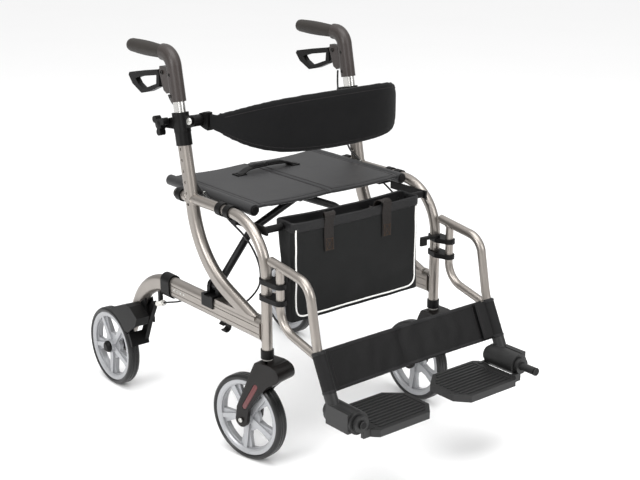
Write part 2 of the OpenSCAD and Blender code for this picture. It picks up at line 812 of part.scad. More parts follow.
// Half of the seat: rail in its hem, panel, and half of the pull handle at the back
module seat(s)
  color(cloth_c) on_side(s) {
    inner = side_x - crease;
    shares = [for (i = [0 : seat_parts]) i / seat_parts];
    straight([seat_v0, seat_z], [seat_v0 + seat_len, seat_z]) {
      translate([0, seat_in]) circle(r = wrap_r);
      polygon(concat([for (f = shares) [seat_top(f), seat_in + (inner - seat_in) * f]],
        [for (f = shares) [seat_top(1 - f) - seat_t, seat_in + (inner - seat_in) * (1 - f)]]));
    }
    lying(seat_v0 - rail_out, seat_v0 + seat_len + rail_out, seat_z, seat_in, 2 * seat_rail_r);
    straight([seat_v0 + pull_v, seat_z], [seat_v0 + pull_v + pull_w, seat_z])
      polygon([for (p = pull_half) [p[0], inner - p[1]]]);
  }

// Side outline of the caster fork: crown, fender and arms
fork_outline = [[-30, crown_top_z], [12, crown_top_z], [20, crown_top_z - 16], [44, 182], [68, 130],
  [trail + 17, wheel_r], [trail, wheel_r - 10], [trail - 17, wheel_r], [34, 128], [4, 172], [-24, 200],
  [-50, 214], [-56, 226], [-50, crown_top_z - 8]];

// Children turned about the swivel axis by the resting angle of that caster
module caster(s)
  on_side(s) rotate([0, s < 0 ? right_turn : left_turn, 0]) children();

// Caster fork with its stem, thrust washer and wheel bolt
module caster_fork(s)
  color(black_c) caster(s) {
    difference() {
      union() {
        translate([0, 0, -fork_half]) linear_extrude(2 * fork_half) polygon(fork_outline);
        across([trail, wheel_r], -fork_half, fork_half, 34);
      }
      across([trail, wheel_r], -fork_gap_half, fork_gap_half, wheel_d + 2 * tyre_room);
      for (f = [-1, 1]) translate([inlay_mid[0], inlay_mid[1], f * fork_half - inlay_depth])
        rotate([0, 0, inlay_turn]) linear_extrude(2 * inlay_depth) stadium(inlay_l, inlay_w);
    }
    upright(0, 0, crown_top_z - 4, stem_top_z, stem_d);
    upright(0, 0, crown_top_z, crown_top_z + 3.6, 22);
    across([trail, wheel_r], -fork_half - 3, fork_half + 3, axle_d);
  }

// One window between two spokes
module window()
  rotate_extrude(angle = 360 / spoke_count - 26) translate([hub_r + 17, -web_half - rib_h - 2])
    square([well_r - hub_r - 19, 2 * web_half + 2 * rib_h + 4]);

// Spoked rim around the origin, axle across the plane
module rim()
  difference() {
    union() {
      translate([0, 0, -hub_half]) cylinder(r = hub_r, h = 2 * hub_half);
      translate([0, 0, -web_half]) cylinder(r = rim_r - 1, h = 2 * web_half);
      rotate_extrude() polygon([[well_r, -rim_half + 3], [well_r + 4, -rim_half], [rim_r, -rim_half],
        [rim_r, rim_half], [well_r + 4, rim_half], [well_r, rim_half - 3]]);
      for (k = [0 : spoke_count - 1]) rotate([0, 0, 360 * k / spoke_count - 13])
        translate([0, 0, -web_half - rib_h]) linear_extrude(2 * web_half + 2 * rib_h)
          polygon([[hub_r - 9, -8.5], [well_r + 1, -5], [well_r + 1, 5], [hub_r - 9, 8.5]]);
    }
    for (k = [0 : spoke_count - 1]) rotate([0, 0, 360 * k / spoke_count]) window();
    translate([0, 0, -hub_half - 1]) cylinder(d = axle_d + 2 * gap, h = 2 * hub_half + 2);
  }

// Solid tyre with two tread grooves
module tyre() {
  w = tyre_w / 2;
  rotate_extrude() polygon([[rim_r, -w + 2], [rim_r + 3, -w], [wheel_r - 5, -w], [wheel_r - 2, -w + 2],
    [wheel_r, -w + 6], [wheel_r, -6], [wheel_r - 1.4, -5], [wheel_r - 1.4, -4], [wheel_r, -3], [wheel_r, 3],
    [wheel_r - 1.4, 4], [wheel_r - 1.4, 5], [wheel_r, 6], [wheel_r, w - 6], [wheel_r - 2, w - 2],
    [wheel_r - 5, w], [rim_r + 3, w], [rim_r, w - 2]]);
}

// Children at the rear wheel centre
module rear_wheel(s)
  on_side(s) translate([leg_axle[0], leg_axle[1], -wheel_out]) children();

// Rim of a rear wheel
module rear_rim(s)
  color(grey_c) rear_wheel(s) rim();

// Tyre of a rear wheel
module rear_tyre(s)
  color(rubber_c) rear_wheel(s) tyre();

// Rim of a caster wheel
module caster_rim(s)
  color(grey_c) caster(s) translate([trail, wheel_r, 0]) rim();

// Tyre of a caster wheel
module caster_tyre(s)
  color(rubber_c) caster(s) translate([trail, wheel_r, 0]) tyre();

// Domed hub cap on the outer side of the rear wheel
module hub_cap(s)
  color(black_c) rear_wheel(s) translate([0, 0, -hub_half]) rotate([180, 0, 0]) rotate_extrude()
    polygon([[axle_d / 2 + 1, 0], [cap_r, 0], [cap_r, 4], [cap_r - 3, cap_out - 2], [cap_r - 7, cap_out],
      [0, cap_out], [0, 6], [axle_d / 2 + 1, 6]]);

// Bent main tube of the foot hanger, used for the hanger and for the cuts that meet it
module hanger_body() {
  straight(hang_top, into_bend(hang_top, hang_bend, hang_low, hang_bend_r)) circle(d = hanger_d);
  corner(hang_top, hang_bend, hang_low, hang_bend_r) circle(d = hanger_d + full);
  straight(into_bend(hang_low, hang_bend, hang_top, hang_bend_r),
    into_bend(hang_bend, hang_low, hang_end, hang_low_r)) circle(d = hanger_d);
  corner(hang_bend, hang_low, hang_end, hang_low_r) circle(d = hanger_d + full);
  straight(into_bend(hang_end, hang_low, hang_bend, hang_low_r), hang_end) circle(d = hanger_d);
}

// Foot hanger: the main tube with its welded swing tube
module hanger(s)
  color(frame_c) on_side(s) {
    hanger_body();
    one_bend([-swing_v, hang_top[1] - 8], dee_bend, dee_end, dee_bend_r) {
      circle(d = swing_d);
      circle(d = swing_d + full);
    }
  }

// Release lever of the foot hanger, pointing inward over the upper clip
module release_lever(s)
  color(black_c) on_side(s) {
    z = clamp_z[0] + clip_h + gap;
    translate([0, z, 0]) rotate([-90, 0, 0]) linear_extrude(release_t) hull() {
      translate([release_v, -release_u]) circle(r = release_r);
      translate([release_v + 6, -release_u - release_reach]) circle(r = release_tip_r);
    }
    translate([0, z - release_tab_drop, 0]) rotate([-90, 0, 0]) linear_extrude(release_tab_h) hull() {
      translate([release_v + 5, -release_u - release_tab[0]]) circle(r = release_tab_r);
      translate([release_v + 6, -release_u - release_tab[1]]) circle(r = release_tab_r);
    }
    upright(release_v, release_u, z - 12, z + 1, release_pin_d);
  }

// Hinge barrel at the foot of the hanger, with its pin
module foot_hinge(s)
  color(black_c) on_side(s) difference() {
    union() {
      lying(pin_face_v + lug_t + 1, barrel_v1 - 1, barrel_z, barrel_u, 2 * barrel_r);
      translate([pin_face_v + lug_t + 6, barrel_z - saddle_drop, -saddle_t])
        cube([barrel_v1 - pin_face_v - lug_t - 16, saddle_h, saddle_t]);
      straight(socket[0], socket[1]) circle(d = hanger_d + 2 * socket_t);
      lying(pin_face_v - (s > 0 ? pin_out : short_pin), barrel_v1 + lug_t + 3, barrel_z, barrel_u, pin_d);
    }
    hanger_body();
  }

// Lug of the footplate around the hinge pin
module plate_lug(v)
  difference() {
    union() {
      lying(v, v + lug_t, barrel_z, barrel_u, lug_d);
      translate([v, plate_z, barrel_u + 4]) cube([lug_t, lug_foot_h, plate_u0 - barrel_u + 8]);
    }
    lying(v - cut, v + lug_t + cut, barrel_z, barrel_u, pin_d + 2 * gap);
  }

// Footplate with cut corners and a sunk tread, on two lugs around the hinge pin
module footplate(s)
  color(black_c) on_side(s) {
    u0 = plate_u0;
    u1 = plate_u0 + plate_w;
    v0 = plate_v0;
    v1 = plate_v0 + plate_l;
    difference() {
      translate([0, plate_z, 0]) rotate([-90, 0, 0]) linear_extrude(plate_t)
        polygon([[v0, -u0 - 14], [v0 + 14, -u0], [v1 - 10, -u0], [v1, -u0 - 12],
          [v1, -u1 + 40], [v1 - 34, -u1], [v0 + 30, -u1], [v0, -u1 + 26]]);
      translate([0, plate_z + plate_t - tread_depth, 0]) rotate([-90, 0, 0]) linear_extrude(2 * tread_depth)
        polygon([[v0 + 8, -u0 - 20], [v1 - 8, -u0 - 20], [v1 - 8, -u1 + 42],
          [v1 - 38, -u1 + 9], [v0 + 33, -u1 + 9], [v0 + 8, -u1 + 30]]);
    }
    for (v = [pin_face_v, barrel_v1]) plate_lug(v);
  }

// Bow of the calf band behind the hanger tubes
function calf_bow(f) = calf_sag * sin(90 * f);

// Half of the calf band, looped around the hanger tube and notched for the swing tube
module calf_band(s)
  color(cloth_c) on_side(s) {
    inner = side_x - crease;
    tube_r = hanger_d / 2;
    shares = [for (i = [0 : calf_parts]) i / calf_parts];
    d = unit(hang_end - hang_low);
    p = hang_low + d * calf_drop;
    difference() {
      straight(p, p + d * calf_h) {
        difference() {
          circle(r = tube_r + calf_t);
          circle(r = tube_r + gap);
        }
        polygon(concat([for (f = shares) [tube_r + calf_t + calf_bow(f), inner * f]],
          [for (f = shares) [tube_r + gap + calf_bow(1 - f) - (f == 1 ? 0 : 1.5), inner * (1 - f)]]));
      }
      straight(dee_bend, dee_end) circle(d = swing_d + 2 * gap);
    }
  }

// End block of the backrest band with its pivot bolt
module back_block(s)
  color(black_c) on_side(s) {
    translate([0, 0, back_u]) linear_extrude(back_block_t)
      polygon([for (p = back_outline) back_pivot + p]);
    across(back_pivot, -10, back_u + 2, back_bolt_d);
    across(back_pivot, -12, -6 - gap, back_bolt_d + 6);
  }

// Power that keeps the sign of its base
function soft_pow(t, e) = sign(t) * pow(abs(t), e);

// Middle line of the backrest band in plan, for a share from -1 to 1
function band_plan(f) = [band_half * soft_pow(sin(90 * f), band_square),
  post_y + back_pivot[0] - band_tip - band_bow * pow(abs(cos(90 * f)), band_square)];

// Direction in plan across the band, toward the inside of its bow
function band_in(f) = let (ahead = band_plan(min(1, f + 0.01)), behind = band_plan(max(-1, f - 0.01)),
    t = unit(ahead - behind))
  [-t[1], t[0]];

// Section of the band at a share of its length: thinner and lower toward the ends
function band_ring(f) = let (c = band_plan(f), n = band_in(f),
    z = back_pivot[1] + band_lift * (1 - f * f),
    h = band_h / 2 - (band_h - band_end_h) / 2 * pow(abs(f), band_taper),
    t = band_t / 2 - band_thin * f * f)
  [for (k = [0 : band_m - 1]) let (a = 360 * k / band_m, w = t * soft_pow(cos(a), 0.6))
    [c[0] + w * n[0], c[1] + w * n[1], z + h * soft_pow(sin(a), 0.5)]];

// Backrest band: a deep bow forward of its two end blocks
module backrest_band()
  color(cloth_c) skin([for (i = [0 : band_n]) band_ring(2 * i / band_n - 1)], band_m);

// Outline of the bag at a share of its height, inset by its wall
function bag_ring(f, inset) = let (r = bag_corner - inset / 2,
    depth = bag_base + (bag_depth - bag_base) * f)
  [for (q = [0 : 3], k = [0 : 4]) let (a = 90 * q + 22.5 * k,
      x = (q == 0 || q == 3 ? 1 : -1) * (bag_half - inset - r), y = q < 2 ? depth - inset - r : inset + r)
    [x + r * cos(a), y + r * sin(a), f * bag_h]];

// Bag: a pouch open at the top that narrows to its bottom, with two webbing loops on its front
module bag()
  color(cloth_c) translate([0, post_y + bag_front_v, bag_top_z - bag_h]) difference() {
    union() {
      skin([bag_ring(0, 0), bag_ring(1, 0), bag_ring(1, bag_wall), bag_ring(bag_wall / bag_h, bag_wall)],
        len(bag_ring(0, 0)));
      for (x = [-loop_x, loop_x]) translate([x - loop_w / 2, -loop_t, bag_h - loop_low])
        cube([loop_w, 2 * loop_t, loop_h]);
    }
    translate([0, peg_v - bag_front_v, peg_z - bag_top_z + bag_h]) rotate([0, 90, 0])
      cylinder(d = peg_d + 2 * gap, h = 2 * bag_half + 20, center = true);
  }

arch_tube(RIGHT);  // right_arch_tube
arch_tube(LEFT);  // left_arch_tube
rear_post(RIGHT);  // right_rear_post
rear_post(LEFT);  // left_rear_post
lower_rail(RIGHT);  // right_lower_rail
lower_rail(LEFT);  // left_lower_rail
rear_leg(RIGHT);  // right_rear_leg
rear_leg(LEFT);  // left_rear_leg
post_clamp(RIGHT);  // right_post_clamp
post_clamp(LEFT);  // left_post_clamp
height_knob(RIGHT);  // right_height_knob
height_knob(LEFT);  // left_height_knob
fittings(RIGHT);  // right_fittings
fittings(LEFT);  // left_fittings
hanger_clamps(RIGHT);  // right_hanger_clamps
hanger_clamps(LEFT);  // left_hanger_clamps
brake_box(RIGHT);  // right_brake_box
brake_box(LEFT);  // left_brake_box
brake_shoe(RIGHT);  // right_brake_shoe
brake_shoe(LEFT);  // left_brake_shoe
brake_cable(RIGHT);  // right_brake_cable
brake_cable(LEFT);  // left_brake_cable
handle_tube(RIGHT);  // right_handle_tube
handle_tube(LEFT);  // left_handle_tube
housing(RIGHT);  // right_housing
housing(LEFT);  // left_housing
grip(RIGHT);  // right_grip
grip(LEFT);  // left_grip
brake_lever(RIGHT);  // right_brake_lever
brake_lever(LEFT);  // left_brake_lever
brace(RIGHT);  // right_brace
brace(LEFT);  // left_brace
seat(RIGHT);  // right_seat
seat(LEFT);  // left_seat
caster_fork(RIGHT);  // right_caster_fork
caster_fork(LEFT);  // left_caster_fork
caster_rim(RIGHT);  // right_caster_rim
caster_rim(LEFT);  // left_caster_rim
caster_tyre(RIGHT);  // right_caster_tyre
caster_tyre(LEFT);  // left_caster_tyre
rear_rim(RIGHT);  // right_rear_rim
rear_rim(LEFT);  // left_rear_rim
rear_tyre(RIGHT);  // right_rear_tyre
rear_tyre(LEFT);  // left_rear_tyre
hub_cap(RIGHT);  // right_hub_cap
hub_cap(LEFT);  // left_hub_cap
hanger(RIGHT);  // right_hanger
hanger(LEFT);  // left_hanger
release_lever(RIGHT);  // right_release_lever
release_lever(LEFT);  // left_release_lever
foot_hinge(RIGHT);  // right_foot_hinge
foot_hinge(LEFT);  // left_foot_hinge
footplate(RIGHT);  // right_footplate
footplate(LEFT);  // left_footplate
calf_band(RIGHT);  // right_calf_band
calf_band(LEFT);  // left_calf_band
back_block(RIGHT);  // right_back_block
back_block(LEFT);  // left_back_block
backrest_band();
bag();
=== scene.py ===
"""Looks of a rollator transport chair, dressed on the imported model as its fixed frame."""

import logging
import math
from dataclasses import dataclass
from enum import Enum
from typing import Callable, Iterable, Sequence

import bmesh
import bpy
from mathutils import Matrix, Vector, noise
from mathutils.bvhtree import BVHTree


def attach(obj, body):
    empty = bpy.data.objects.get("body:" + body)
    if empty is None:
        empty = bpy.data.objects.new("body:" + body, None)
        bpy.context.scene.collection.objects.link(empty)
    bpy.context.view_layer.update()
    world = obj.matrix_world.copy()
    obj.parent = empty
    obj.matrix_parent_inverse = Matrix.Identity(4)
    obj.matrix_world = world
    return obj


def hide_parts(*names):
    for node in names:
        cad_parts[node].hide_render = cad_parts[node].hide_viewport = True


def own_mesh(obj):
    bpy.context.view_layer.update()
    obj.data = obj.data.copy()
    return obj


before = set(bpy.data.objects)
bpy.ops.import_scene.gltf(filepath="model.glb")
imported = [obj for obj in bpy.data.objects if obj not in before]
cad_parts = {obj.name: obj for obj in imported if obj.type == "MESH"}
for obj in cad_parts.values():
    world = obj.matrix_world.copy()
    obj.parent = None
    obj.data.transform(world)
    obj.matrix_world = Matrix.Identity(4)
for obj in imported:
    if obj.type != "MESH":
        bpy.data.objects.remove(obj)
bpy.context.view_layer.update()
LOG = logging.getLogger("rollator")
MM = 0.001


class Side(Enum):
    """Side of a seated person, with the sign of its X."""

    RIGHT = -1
    LEFT = 1

    @property
    def word(self) -> str:
        """Word that starts the names of this side's bodies and nodes."""
        return self.name.lower()


class Slot(Enum):
    """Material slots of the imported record."""

    FRAME = "frame_paint"
    PLASTIC = "black_plastic"
    RIM = "rim_grey"
    TUBE = "silver_tube"
    STEEL = "black_steel"
    CLOTH = "black_cloth"


@dataclass(frozen=True)
class SidePlan:
    """Places on a side frame in millimetres: v runs back from the front post, z up, u inward."""

    side_x: float = 248.0
    post_y: float = -181.5
    right_turn: float = 12.0
    left_turn: float = 0.0

    def at(self, side: Side, v: float, z: float, u: float = 0.0) -> Vector:
        """Point of a side plane.

        Args:
            side: which side frame.
            v: distance back from the front post.
            z: height over the floor.
            u: distance inward from the side plane.

        Returns:
            The point in metres.
        """
        return Vector((side.value * (self.side_x - u), self.post_y + v, z)) * MM

    def aim(self, side: Side, v: float, z: float, u: float = 0.0) -> Vector:
        """Unit direction given in side-plane terms."""
        return Vector((-side.value * u, v, z)).normalized()

    def caster(self, side: Side, v: float, z: float, u: float) -> Vector:
        """Point on a caster, turned about the front post by its resting angle.

        Args:
            side: side frame that carries the caster.
            v: distance behind the swivel axis, in millimetres.
            z: height over the floor, in millimetres.
            u: distance inward from the swivel axis, in millimetres.

        Returns:
            The point in metres.
        """
        turn = math.radians(self.right_turn if side is Side.RIGHT else self.left_turn)
        back = v * math.cos(turn) + u * math.sin(turn)
        inward = u * math.cos(turn) - v * math.sin(turn)
        return self.at(side, back, z, inward)

    def on_caster(self, side: Side, point: Vector) -> Vector:
        """Place of a point in a caster's own terms.

        Args:
            side: which caster.
            point: the point in metres.

        Returns:
            Distance back, height and distance inward, in millimetres.
        """
        turn = math.radians(self.right_turn if side is Side.RIGHT else self.left_turn)
        back = point.y / MM - self.post_y
        inward = self.side_x - side.value * point.x / MM
        v = back * math.cos(turn) - inward * math.sin(turn)
        u = back * math.sin(turn) + inward * math.cos(turn)
        return Vector((v, point.z / MM, u))


PLAN = SidePlan()


def linear(hex_colour: str) -> tuple[float, float, float, float]:
    """Turns an sRGB hex colour to linear red, green, blue and alpha.

    Args:
        hex_colour: six hex digits, with or without a leading mark.

    Returns:
        The four linear channels.
    """
    digits = hex_colour.lstrip("#")
    channels = [int(digits[i : i + 2], 16) / 255 for i in (0, 2, 4)]
    red, green, blue = [c / 12.92 if c <= 0.04045 else ((c + 0.055) / 1.055) ** 2.4 for c in channels]
    return red, green, blue, 1.0


def per_mm(size: float) -> float:
    """Texture scale whose features are this many millimetres across."""
    return 1.0 / (size * MM)


def band_scale(pitch: float) -> float:
    """Wave texture scale whose bands repeat every so many millimetres."""
    return math.tau / (20.0 * pitch * MM)


def add_node(
    tree: bpy.types.NodeTree, kind: str, settings: dict | None = None, inputs: dict | None = None
) -> bpy.types.Node:
    """Adds one shader node.

    Args:
        tree: node tree that takes it.
        kind: blender's name of the node type.
        settings: attributes to set on it.
        inputs: sockets by name or number, each with a value or with the output that feeds it.

    Returns:
        The new node.
    """
    node = tree.nodes.new(kind)
    for name, value in (settings or {}).items():
        setattr(node, name, value)
    for key, value in (inputs or {}).items():
        if isinstance(value, bpy.types.NodeSocket):
            tree.links.new(value, node.inputs[key])
        else:
            node.inputs[key].default_value = value
    return node


@dataclass(frozen=True)
class Finish:
    """Surface of one real material, as a Principled shader with its own fine relief."""

    name: str
    colour: str
    shade: str
    roughness: float
    metallic: float = 0.0
    patch_mm: float = 60.0
    edge_mm: float = 0.0
    mirror: float = 0.5

    def material(self) -> bpy.types.Material:
        """Makes the Blender material of this finish on first use.

        Returns:
            The material, which all pieces of this finish share.
        """
        found = bpy.data.materials.get(self.name)
        if found:
            return found
        made = bpy.data.materials.new(self.name)
        made.use_nodes = True
        tree = made.node_tree
        shader = tree.nodes["Principled BSDF"]
        shader.inputs["Metallic"].default_value = self.metallic
        shader.inputs["Specular IOR Level"].default_value = self.mirror
        coords = add_node(tree, "ShaderNodeTexCoord")
        patches = add_node(
            tree,
            "ShaderNodeTexNoise",
            inputs={"Vector": coords.outputs["Object"], "Scale": per_mm(self.patch_mm), "Detail": 4.0},
        )
        tint = add_node(
            tree,
            "ShaderNodeMix",
            {"data_type": "RGBA"},
            {0: patches.outputs["Fac"], 6: linear(self.colour), 7: linear(self.shade)},
        )
        tree.links.new(tint.outputs[2], shader.inputs["Base Color"])
        gloss = add_node(
            tree,
            "ShaderNodeMapRange",
            inputs={
                "Value": patches.outputs["Fac"],
                "To Min": self.roughness * 0.88,
                "To Max": min(1.0, self.roughness * 1.12),
            },
        )
        tree.links.new(gloss.outputs["Result"], shader.inputs["Roughness"])
        self.relief(tree, shader, coords)
        return made

    def relief(self, tree: bpy.types.NodeTree, shader: bpy.types.Node, coords: bpy.types.Node) -> None:
        """Adds the relief that the making left on the surface: a plain finish has none, and each kind of
        finish below adds its own.

        Args:
            tree: the material's node tree; not used here.
            shader: its Principled shader; not used here.
            coords: its texture coordinates; not used here.
        """


@dataclass(frozen=True)
class MetallicPaint(Finish):
    """Metallic powder coat on tube: bright flakes under a clear skin with a faint orange peel."""

    flake_mm: float = 1.4
    peel_mm: float = 5.0

    def relief(self, tree: bpy.types.NodeTree, shader: bpy.types.Node, coords: bpy.types.Node) -> None:
        """Adds flakes, drawn coarse enough to show, and the peel of the clear skin.

        Args:
            tree: the material's node tree.
            shader: its Principled shader.
            coords: its texture coordinates.
        """
        shader.inputs["Coat Weight"].default_value = 0.35
        shader.inputs["Coat Roughness"].default_value = 0.12
        where = coords.outputs["Object"]
        flake_inputs = {"Vector": where, "Scale": per_mm(self.flake_mm)}
        flakes = add_node(tree, "ShaderNodeTexVoronoi", inputs=flake_inputs)
        peel = add_node(tree, "ShaderNodeTexNoise", inputs={"Vector": where, "Scale": per_mm(self.peel_mm)})
        glint = add_node(
            tree,
            "ShaderNodeBump",
            inputs={"Strength": 0.03, "Distance": 0.1 * MM, "Height": flakes.outputs["Distance"]},
        )
        skin = add_node(
            tree,
            "ShaderNodeBump",
            inputs={
                "Strength": 0.05,
                "Distance": 0.3 * MM,
                "Height": peel.outputs["Fac"],
                "Normal": glint.outputs["Normal"],
            },
        )
        tree.links.new(skin.outputs["Normal"], shader.inputs["Normal"])


@dataclass(frozen=True)
class Moulded(Finish):
    """Moulded polymer with a spark-eroded grain and edges rounded by the tool."""

    grain_mm: float = 1.6
    grain_depth: float = 0.12

    def relief(self, tree: bpy.types.NodeTree, shader: bpy.types.Node, coords: bpy.types.Node) -> None:
        """Adds the moulded grain over rounded edges.

        Args:
            tree: the material's node tree.
            shader: its Principled shader.
            coords: its texture coordinates.
        """
        grain = add_node(
            tree,
            "ShaderNodeTexNoise",
            inputs={"Vector": coords.outputs["Object"], "Scale": per_mm(self.grain_mm), "Detail": 3.0},
        )
        radius = max(self.edge_mm, 0.05) * MM
        rounding = add_node(tree, "ShaderNodeBevel", {"samples": 4}, {"Radius": radius})
        bump = add_node(
            tree,
            "ShaderNodeBump",
            inputs={
                "Strength": 0.35,
                "Distance": self.grain_depth * MM,
                "Height": grain.outputs["Fac"],
                "Normal": rounding.outputs["Normal"],
            },
        )
        tree.links.new(bump.outputs["Normal"], shader.inputs["Normal"])


@dataclass(frozen=True)
class DrawnTube(Finish):
    """Drawn and anodised aluminium: fine die lines along the height of the tube."""

    line_mm: float = 1.2
    stretch: float = 0.02

    def relief(self, tree: bpy.types.NodeTree, shader: bpy.types.Node, coords: bpy.types.Node) -> None:
        """Adds the die lines as a noise stretched along Z.

        Args:
            tree: the material's node tree.
            shader: its Principled shader.
            coords: its texture coordinates.
        """
        squeeze = add_node(
            tree,
            "ShaderNodeMapping",
            inputs={"Vector": coords.outputs["Object"], "Scale": (1.0, 1.0, self.stretch)},
        )
        lines = add_node(
            tree,
            "ShaderNodeTexNoise",
            inputs={"Vector": squeeze.outputs["Vector"], "Scale": per_mm(self.line_mm), "Detail": 2.0},
        )
        bump = add_node(
            tree,
            "ShaderNodeBump",
            inputs={"Strength": 0.12, "Distance": 0.08 * MM, "Height": lines.outputs["Fac"]},
        )
        tree.links.new(bump.outputs["Normal"], shader.inputs["Normal"])


@dataclass(frozen=True)
class Woven(Finish):
    """Woven synthetic cloth: warp and weft ridges on the piece's own UV map, with a soft sheen."""

    thread_mm: float = 1.5
    depth_mm: float = 0.25
    sheen: float = 0.25
    crease_mm: float = 22.0

    def relief(self, tree: bpy.types.NodeTree, shader: bpy.types.Node, coords: bpy.types.Node) -> None:
        """Adds threads, drawn about twice as coarse as real ones so that they show, and soft creases.

        Args:
            tree: the material's node tree.
            shader: its Principled shader.
            coords: its texture coordinates.
        """
        shader.inputs["Sheen Weight"].default_value = self.sheen
        shader.inputs["Sheen Roughness"].default_value = 0.4
        cloth_map = coords.outputs["UV"]
        pitch = 2.0 * self.thread_mm
        ridge = {"Vector": cloth_map, "Scale": band_scale(pitch), "Distortion": 0.4, "Detail": 1.0}
        warp, weft = (
            add_node(tree, "ShaderNodeTexWave", {"bands_direction": way}, ridge) for way in ("X", "Y")
        )
        over = add_node(tree, "ShaderNodeTexChecker", inputs={"Vector": cloth_map, "Scale": per_mm(pitch)})
        threads = add_node(
            tree,
            "ShaderNodeMix",
            inputs={0: over.outputs["Fac"], 2: warp.outputs["Fac"], 3: weft.outputs["Fac"]},
        )
        creases = add_node(
            tree,
            "ShaderNodeTexNoise",
            inputs={"Vector": coords.outputs["Object"], "Scale": per_mm(self.crease_mm), "Detail": 2.0},
        )
        folds = add_node(
            tree,
            "ShaderNodeBump",
            inputs={"Strength": 0.22, "Distance": 2.0 * MM, "Height": creases.outputs["Fac"]},
        )
        bump = add_node(
            tree,
            "ShaderNodeBump",
            inputs={
                "Strength": 0.55,
                "Distance": self.depth_mm * MM,
                "Height": threads.outputs[0],
                "Normal": folds.outputs["Normal"],
            },
        )
        tree.links.new(bump.outputs["Normal"], shader.inputs["Normal"])


# Champagne grey metallic powder coat: warm silver with soft broad highlights
FRAME_PAINT = MetallicPaint("champagne powder coat", "#98928c", "#88827c", roughness=0.36, metallic=0.9)
# Black powder coat on the brace tubes: an even, dim shine along the tube
BRACE_PAINT = Moulded(
    "black powder coat",
    "#0b0b0c",
    "#111112",
    roughness=0.4,
    patch_mm=40.0,
    edge_mm=0.3,
    mirror=0.35,
    grain_mm=2.2,
    grain_depth=0.1,
)
# Glass-filled nylon fittings: black, half matt, with a fine grain
FITTING_NYLON = Moulded(
    "black moulded nylon", "#080808", "#0d0c0c", roughness=0.42, patch_mm=30.0, edge_mm=0.8, mirror=0.15
)
# Warm black ABS of the handle housings: a brown tone and a satin shine in the light
HOUSING_ABS = Moulded(
    "warm black moulded ABS",
    "#2d2825",
    "#373130",
    roughness=0.38,
    patch_mm=40.0,
    edge_mm=1.2,
    mirror=0.35,
)
# Black ABS of the caster forks: deeper black, with rounded edges that catch the light
FORK_ABS = Moulded(
    "black moulded ABS", "#0d0b0a", "#141110", roughness=0.36, patch_mm=40.0, edge_mm=2.0, mirror=0.22
)
# Soft grip rubber: a dull skin without sharp highlights
GRIP_RUBBER = Moulded(
    "soft grip rubber",
    "#221f1c",
    "#2c2825",
    roughness=0.58,
    patch_mm=25.0,
    edge_mm=0.4,
    mirror=0.3,
    grain_mm=1.1,
    grain_depth=0.2,
)
# Solid tyre of black polyurethane: a sheen on its shoulder
TYRE_RUBBER = Moulded(
    "solid black tyre",
    "#090909",
    "#0f0f10",
    roughness=0.32,
    patch_mm=45.0,
    edge_mm=0.6,
    mirror=0.4,
    grain_mm=2.4,
    grain_depth=0.1,
)
# Silver lacquer on the moulded rims: pale and smooth, with a little metal in it
RIM_PAINT = Moulded(
    "silver rim lacquer",
    "#a2a3a5",
    "#97989b",
    roughness=0.32,
    metallic=0.3,
    patch_mm=50.0,
    edge_mm=1.0,
    grain_mm=3.0,
    grain_depth=0.04,
)
# Footplate of black polypropylene: greyer patches where shoes scuff it
PLATE_PP = Moulded(
    "footplate polypropylene",
    "#171717",
    "#202020",
    roughness=0.46,
    patch_mm=28.0,
    edge_mm=1.2,
    mirror=0.35,
    grain_mm=1.8,
    grain_depth=0.2,
)
# Satin anodised handle tube: bright, with fine lines along its length
HANDLE_TUBE = DrawnTube("anodised tube", "#d5d4d1", "#c8c7c4", roughness=0.26, metallic=1.0)
# Cable sheath of extruded PVC: smooth black with a thin highlight
CABLE_PVC = Moulded(
    "black cable sheath",
    "#0d0d0d",
    "#141414",
    roughness=0.35,
    patch_mm=20.0,
    edge_mm=0.2,
    mirror=0.4,
    grain_mm=2.0,
    grain_depth=0.05,
)
# Coated seat cloth: fine grain with a dull shine
SEAT_CLOTH = Woven(
    "coated seat cloth",
    "#202021",
    "#2b2b2c",
    roughness=0.48,
    patch_mm=55.0,
    mirror=0.35,
    thread_mm=1.1,
    depth_mm=0.12,
    sheen=0.03,
    crease_mm=40.0,
)
# Knitted cover of the backrest: deep black and matt
BAND_CLOTH = Woven(
    "backrest cover cloth",
    "#060607",
    "#0a0a0b",
    roughness=0.8,
    patch_mm=45.0,
    mirror=0.15,
    thread_mm=1.3,
    depth_mm=0.2,
    sheen=0.02,
    crease_mm=26.0,
)
# Bag cloth of coated polyester canvas: black, with broad soft creases
BAG_CLOTH = Woven(
    "bag canvas",
    "#070808",
    "#0c0d0d",
    roughness=0.62,
    patch_mm=50.0,
    mirror=0.22,
    depth_mm=0.2,
    sheen=0.02,
    crease_mm=30.0,
)
# Calf strap canvas: black, with visible threads and short creases
STRAP_CLOTH = Woven(
    "calf strap canvas",
    "#070707",
    "#0d0c0d",
    roughness=0.6,
    patch_mm=40.0,
    mirror=0.22,
    sheen=0.02,
    crease_mm=18.0,
)
# Webbing of polypropylene tape: coarse ribs in a warm black
WEBBING = Woven(
    "black webbing",
    "#15110f",
    "#1d1816",
    roughness=0.6,
    patch_mm=14.0,
    mirror=0.25,
    thread_mm=2.2,
    depth_mm=0.5,
    sheen=0.03,
    crease_mm=12.0,
)
# Edge tape sewn over raw edges: a slightly shinier line around the cloth
EDGE_TAPE = Woven(
    "edge tape",
    "#09090a",
    "#0f0e10",
    roughness=0.52,
    patch_mm=10.0,
    mirror=0.3,
    thread_mm=1.6,
    depth_mm=0.3,
    sheen=0.03,
    crease_mm=12.0,
)
# Reflective white piping cord: the bright outline of the bag
PIPING = Moulded(
    "white piping", "#ecebe8", "#dfdedb", roughness=0.45, patch_mm=12.0, grain_mm=1.2, grain_depth=0.15
)
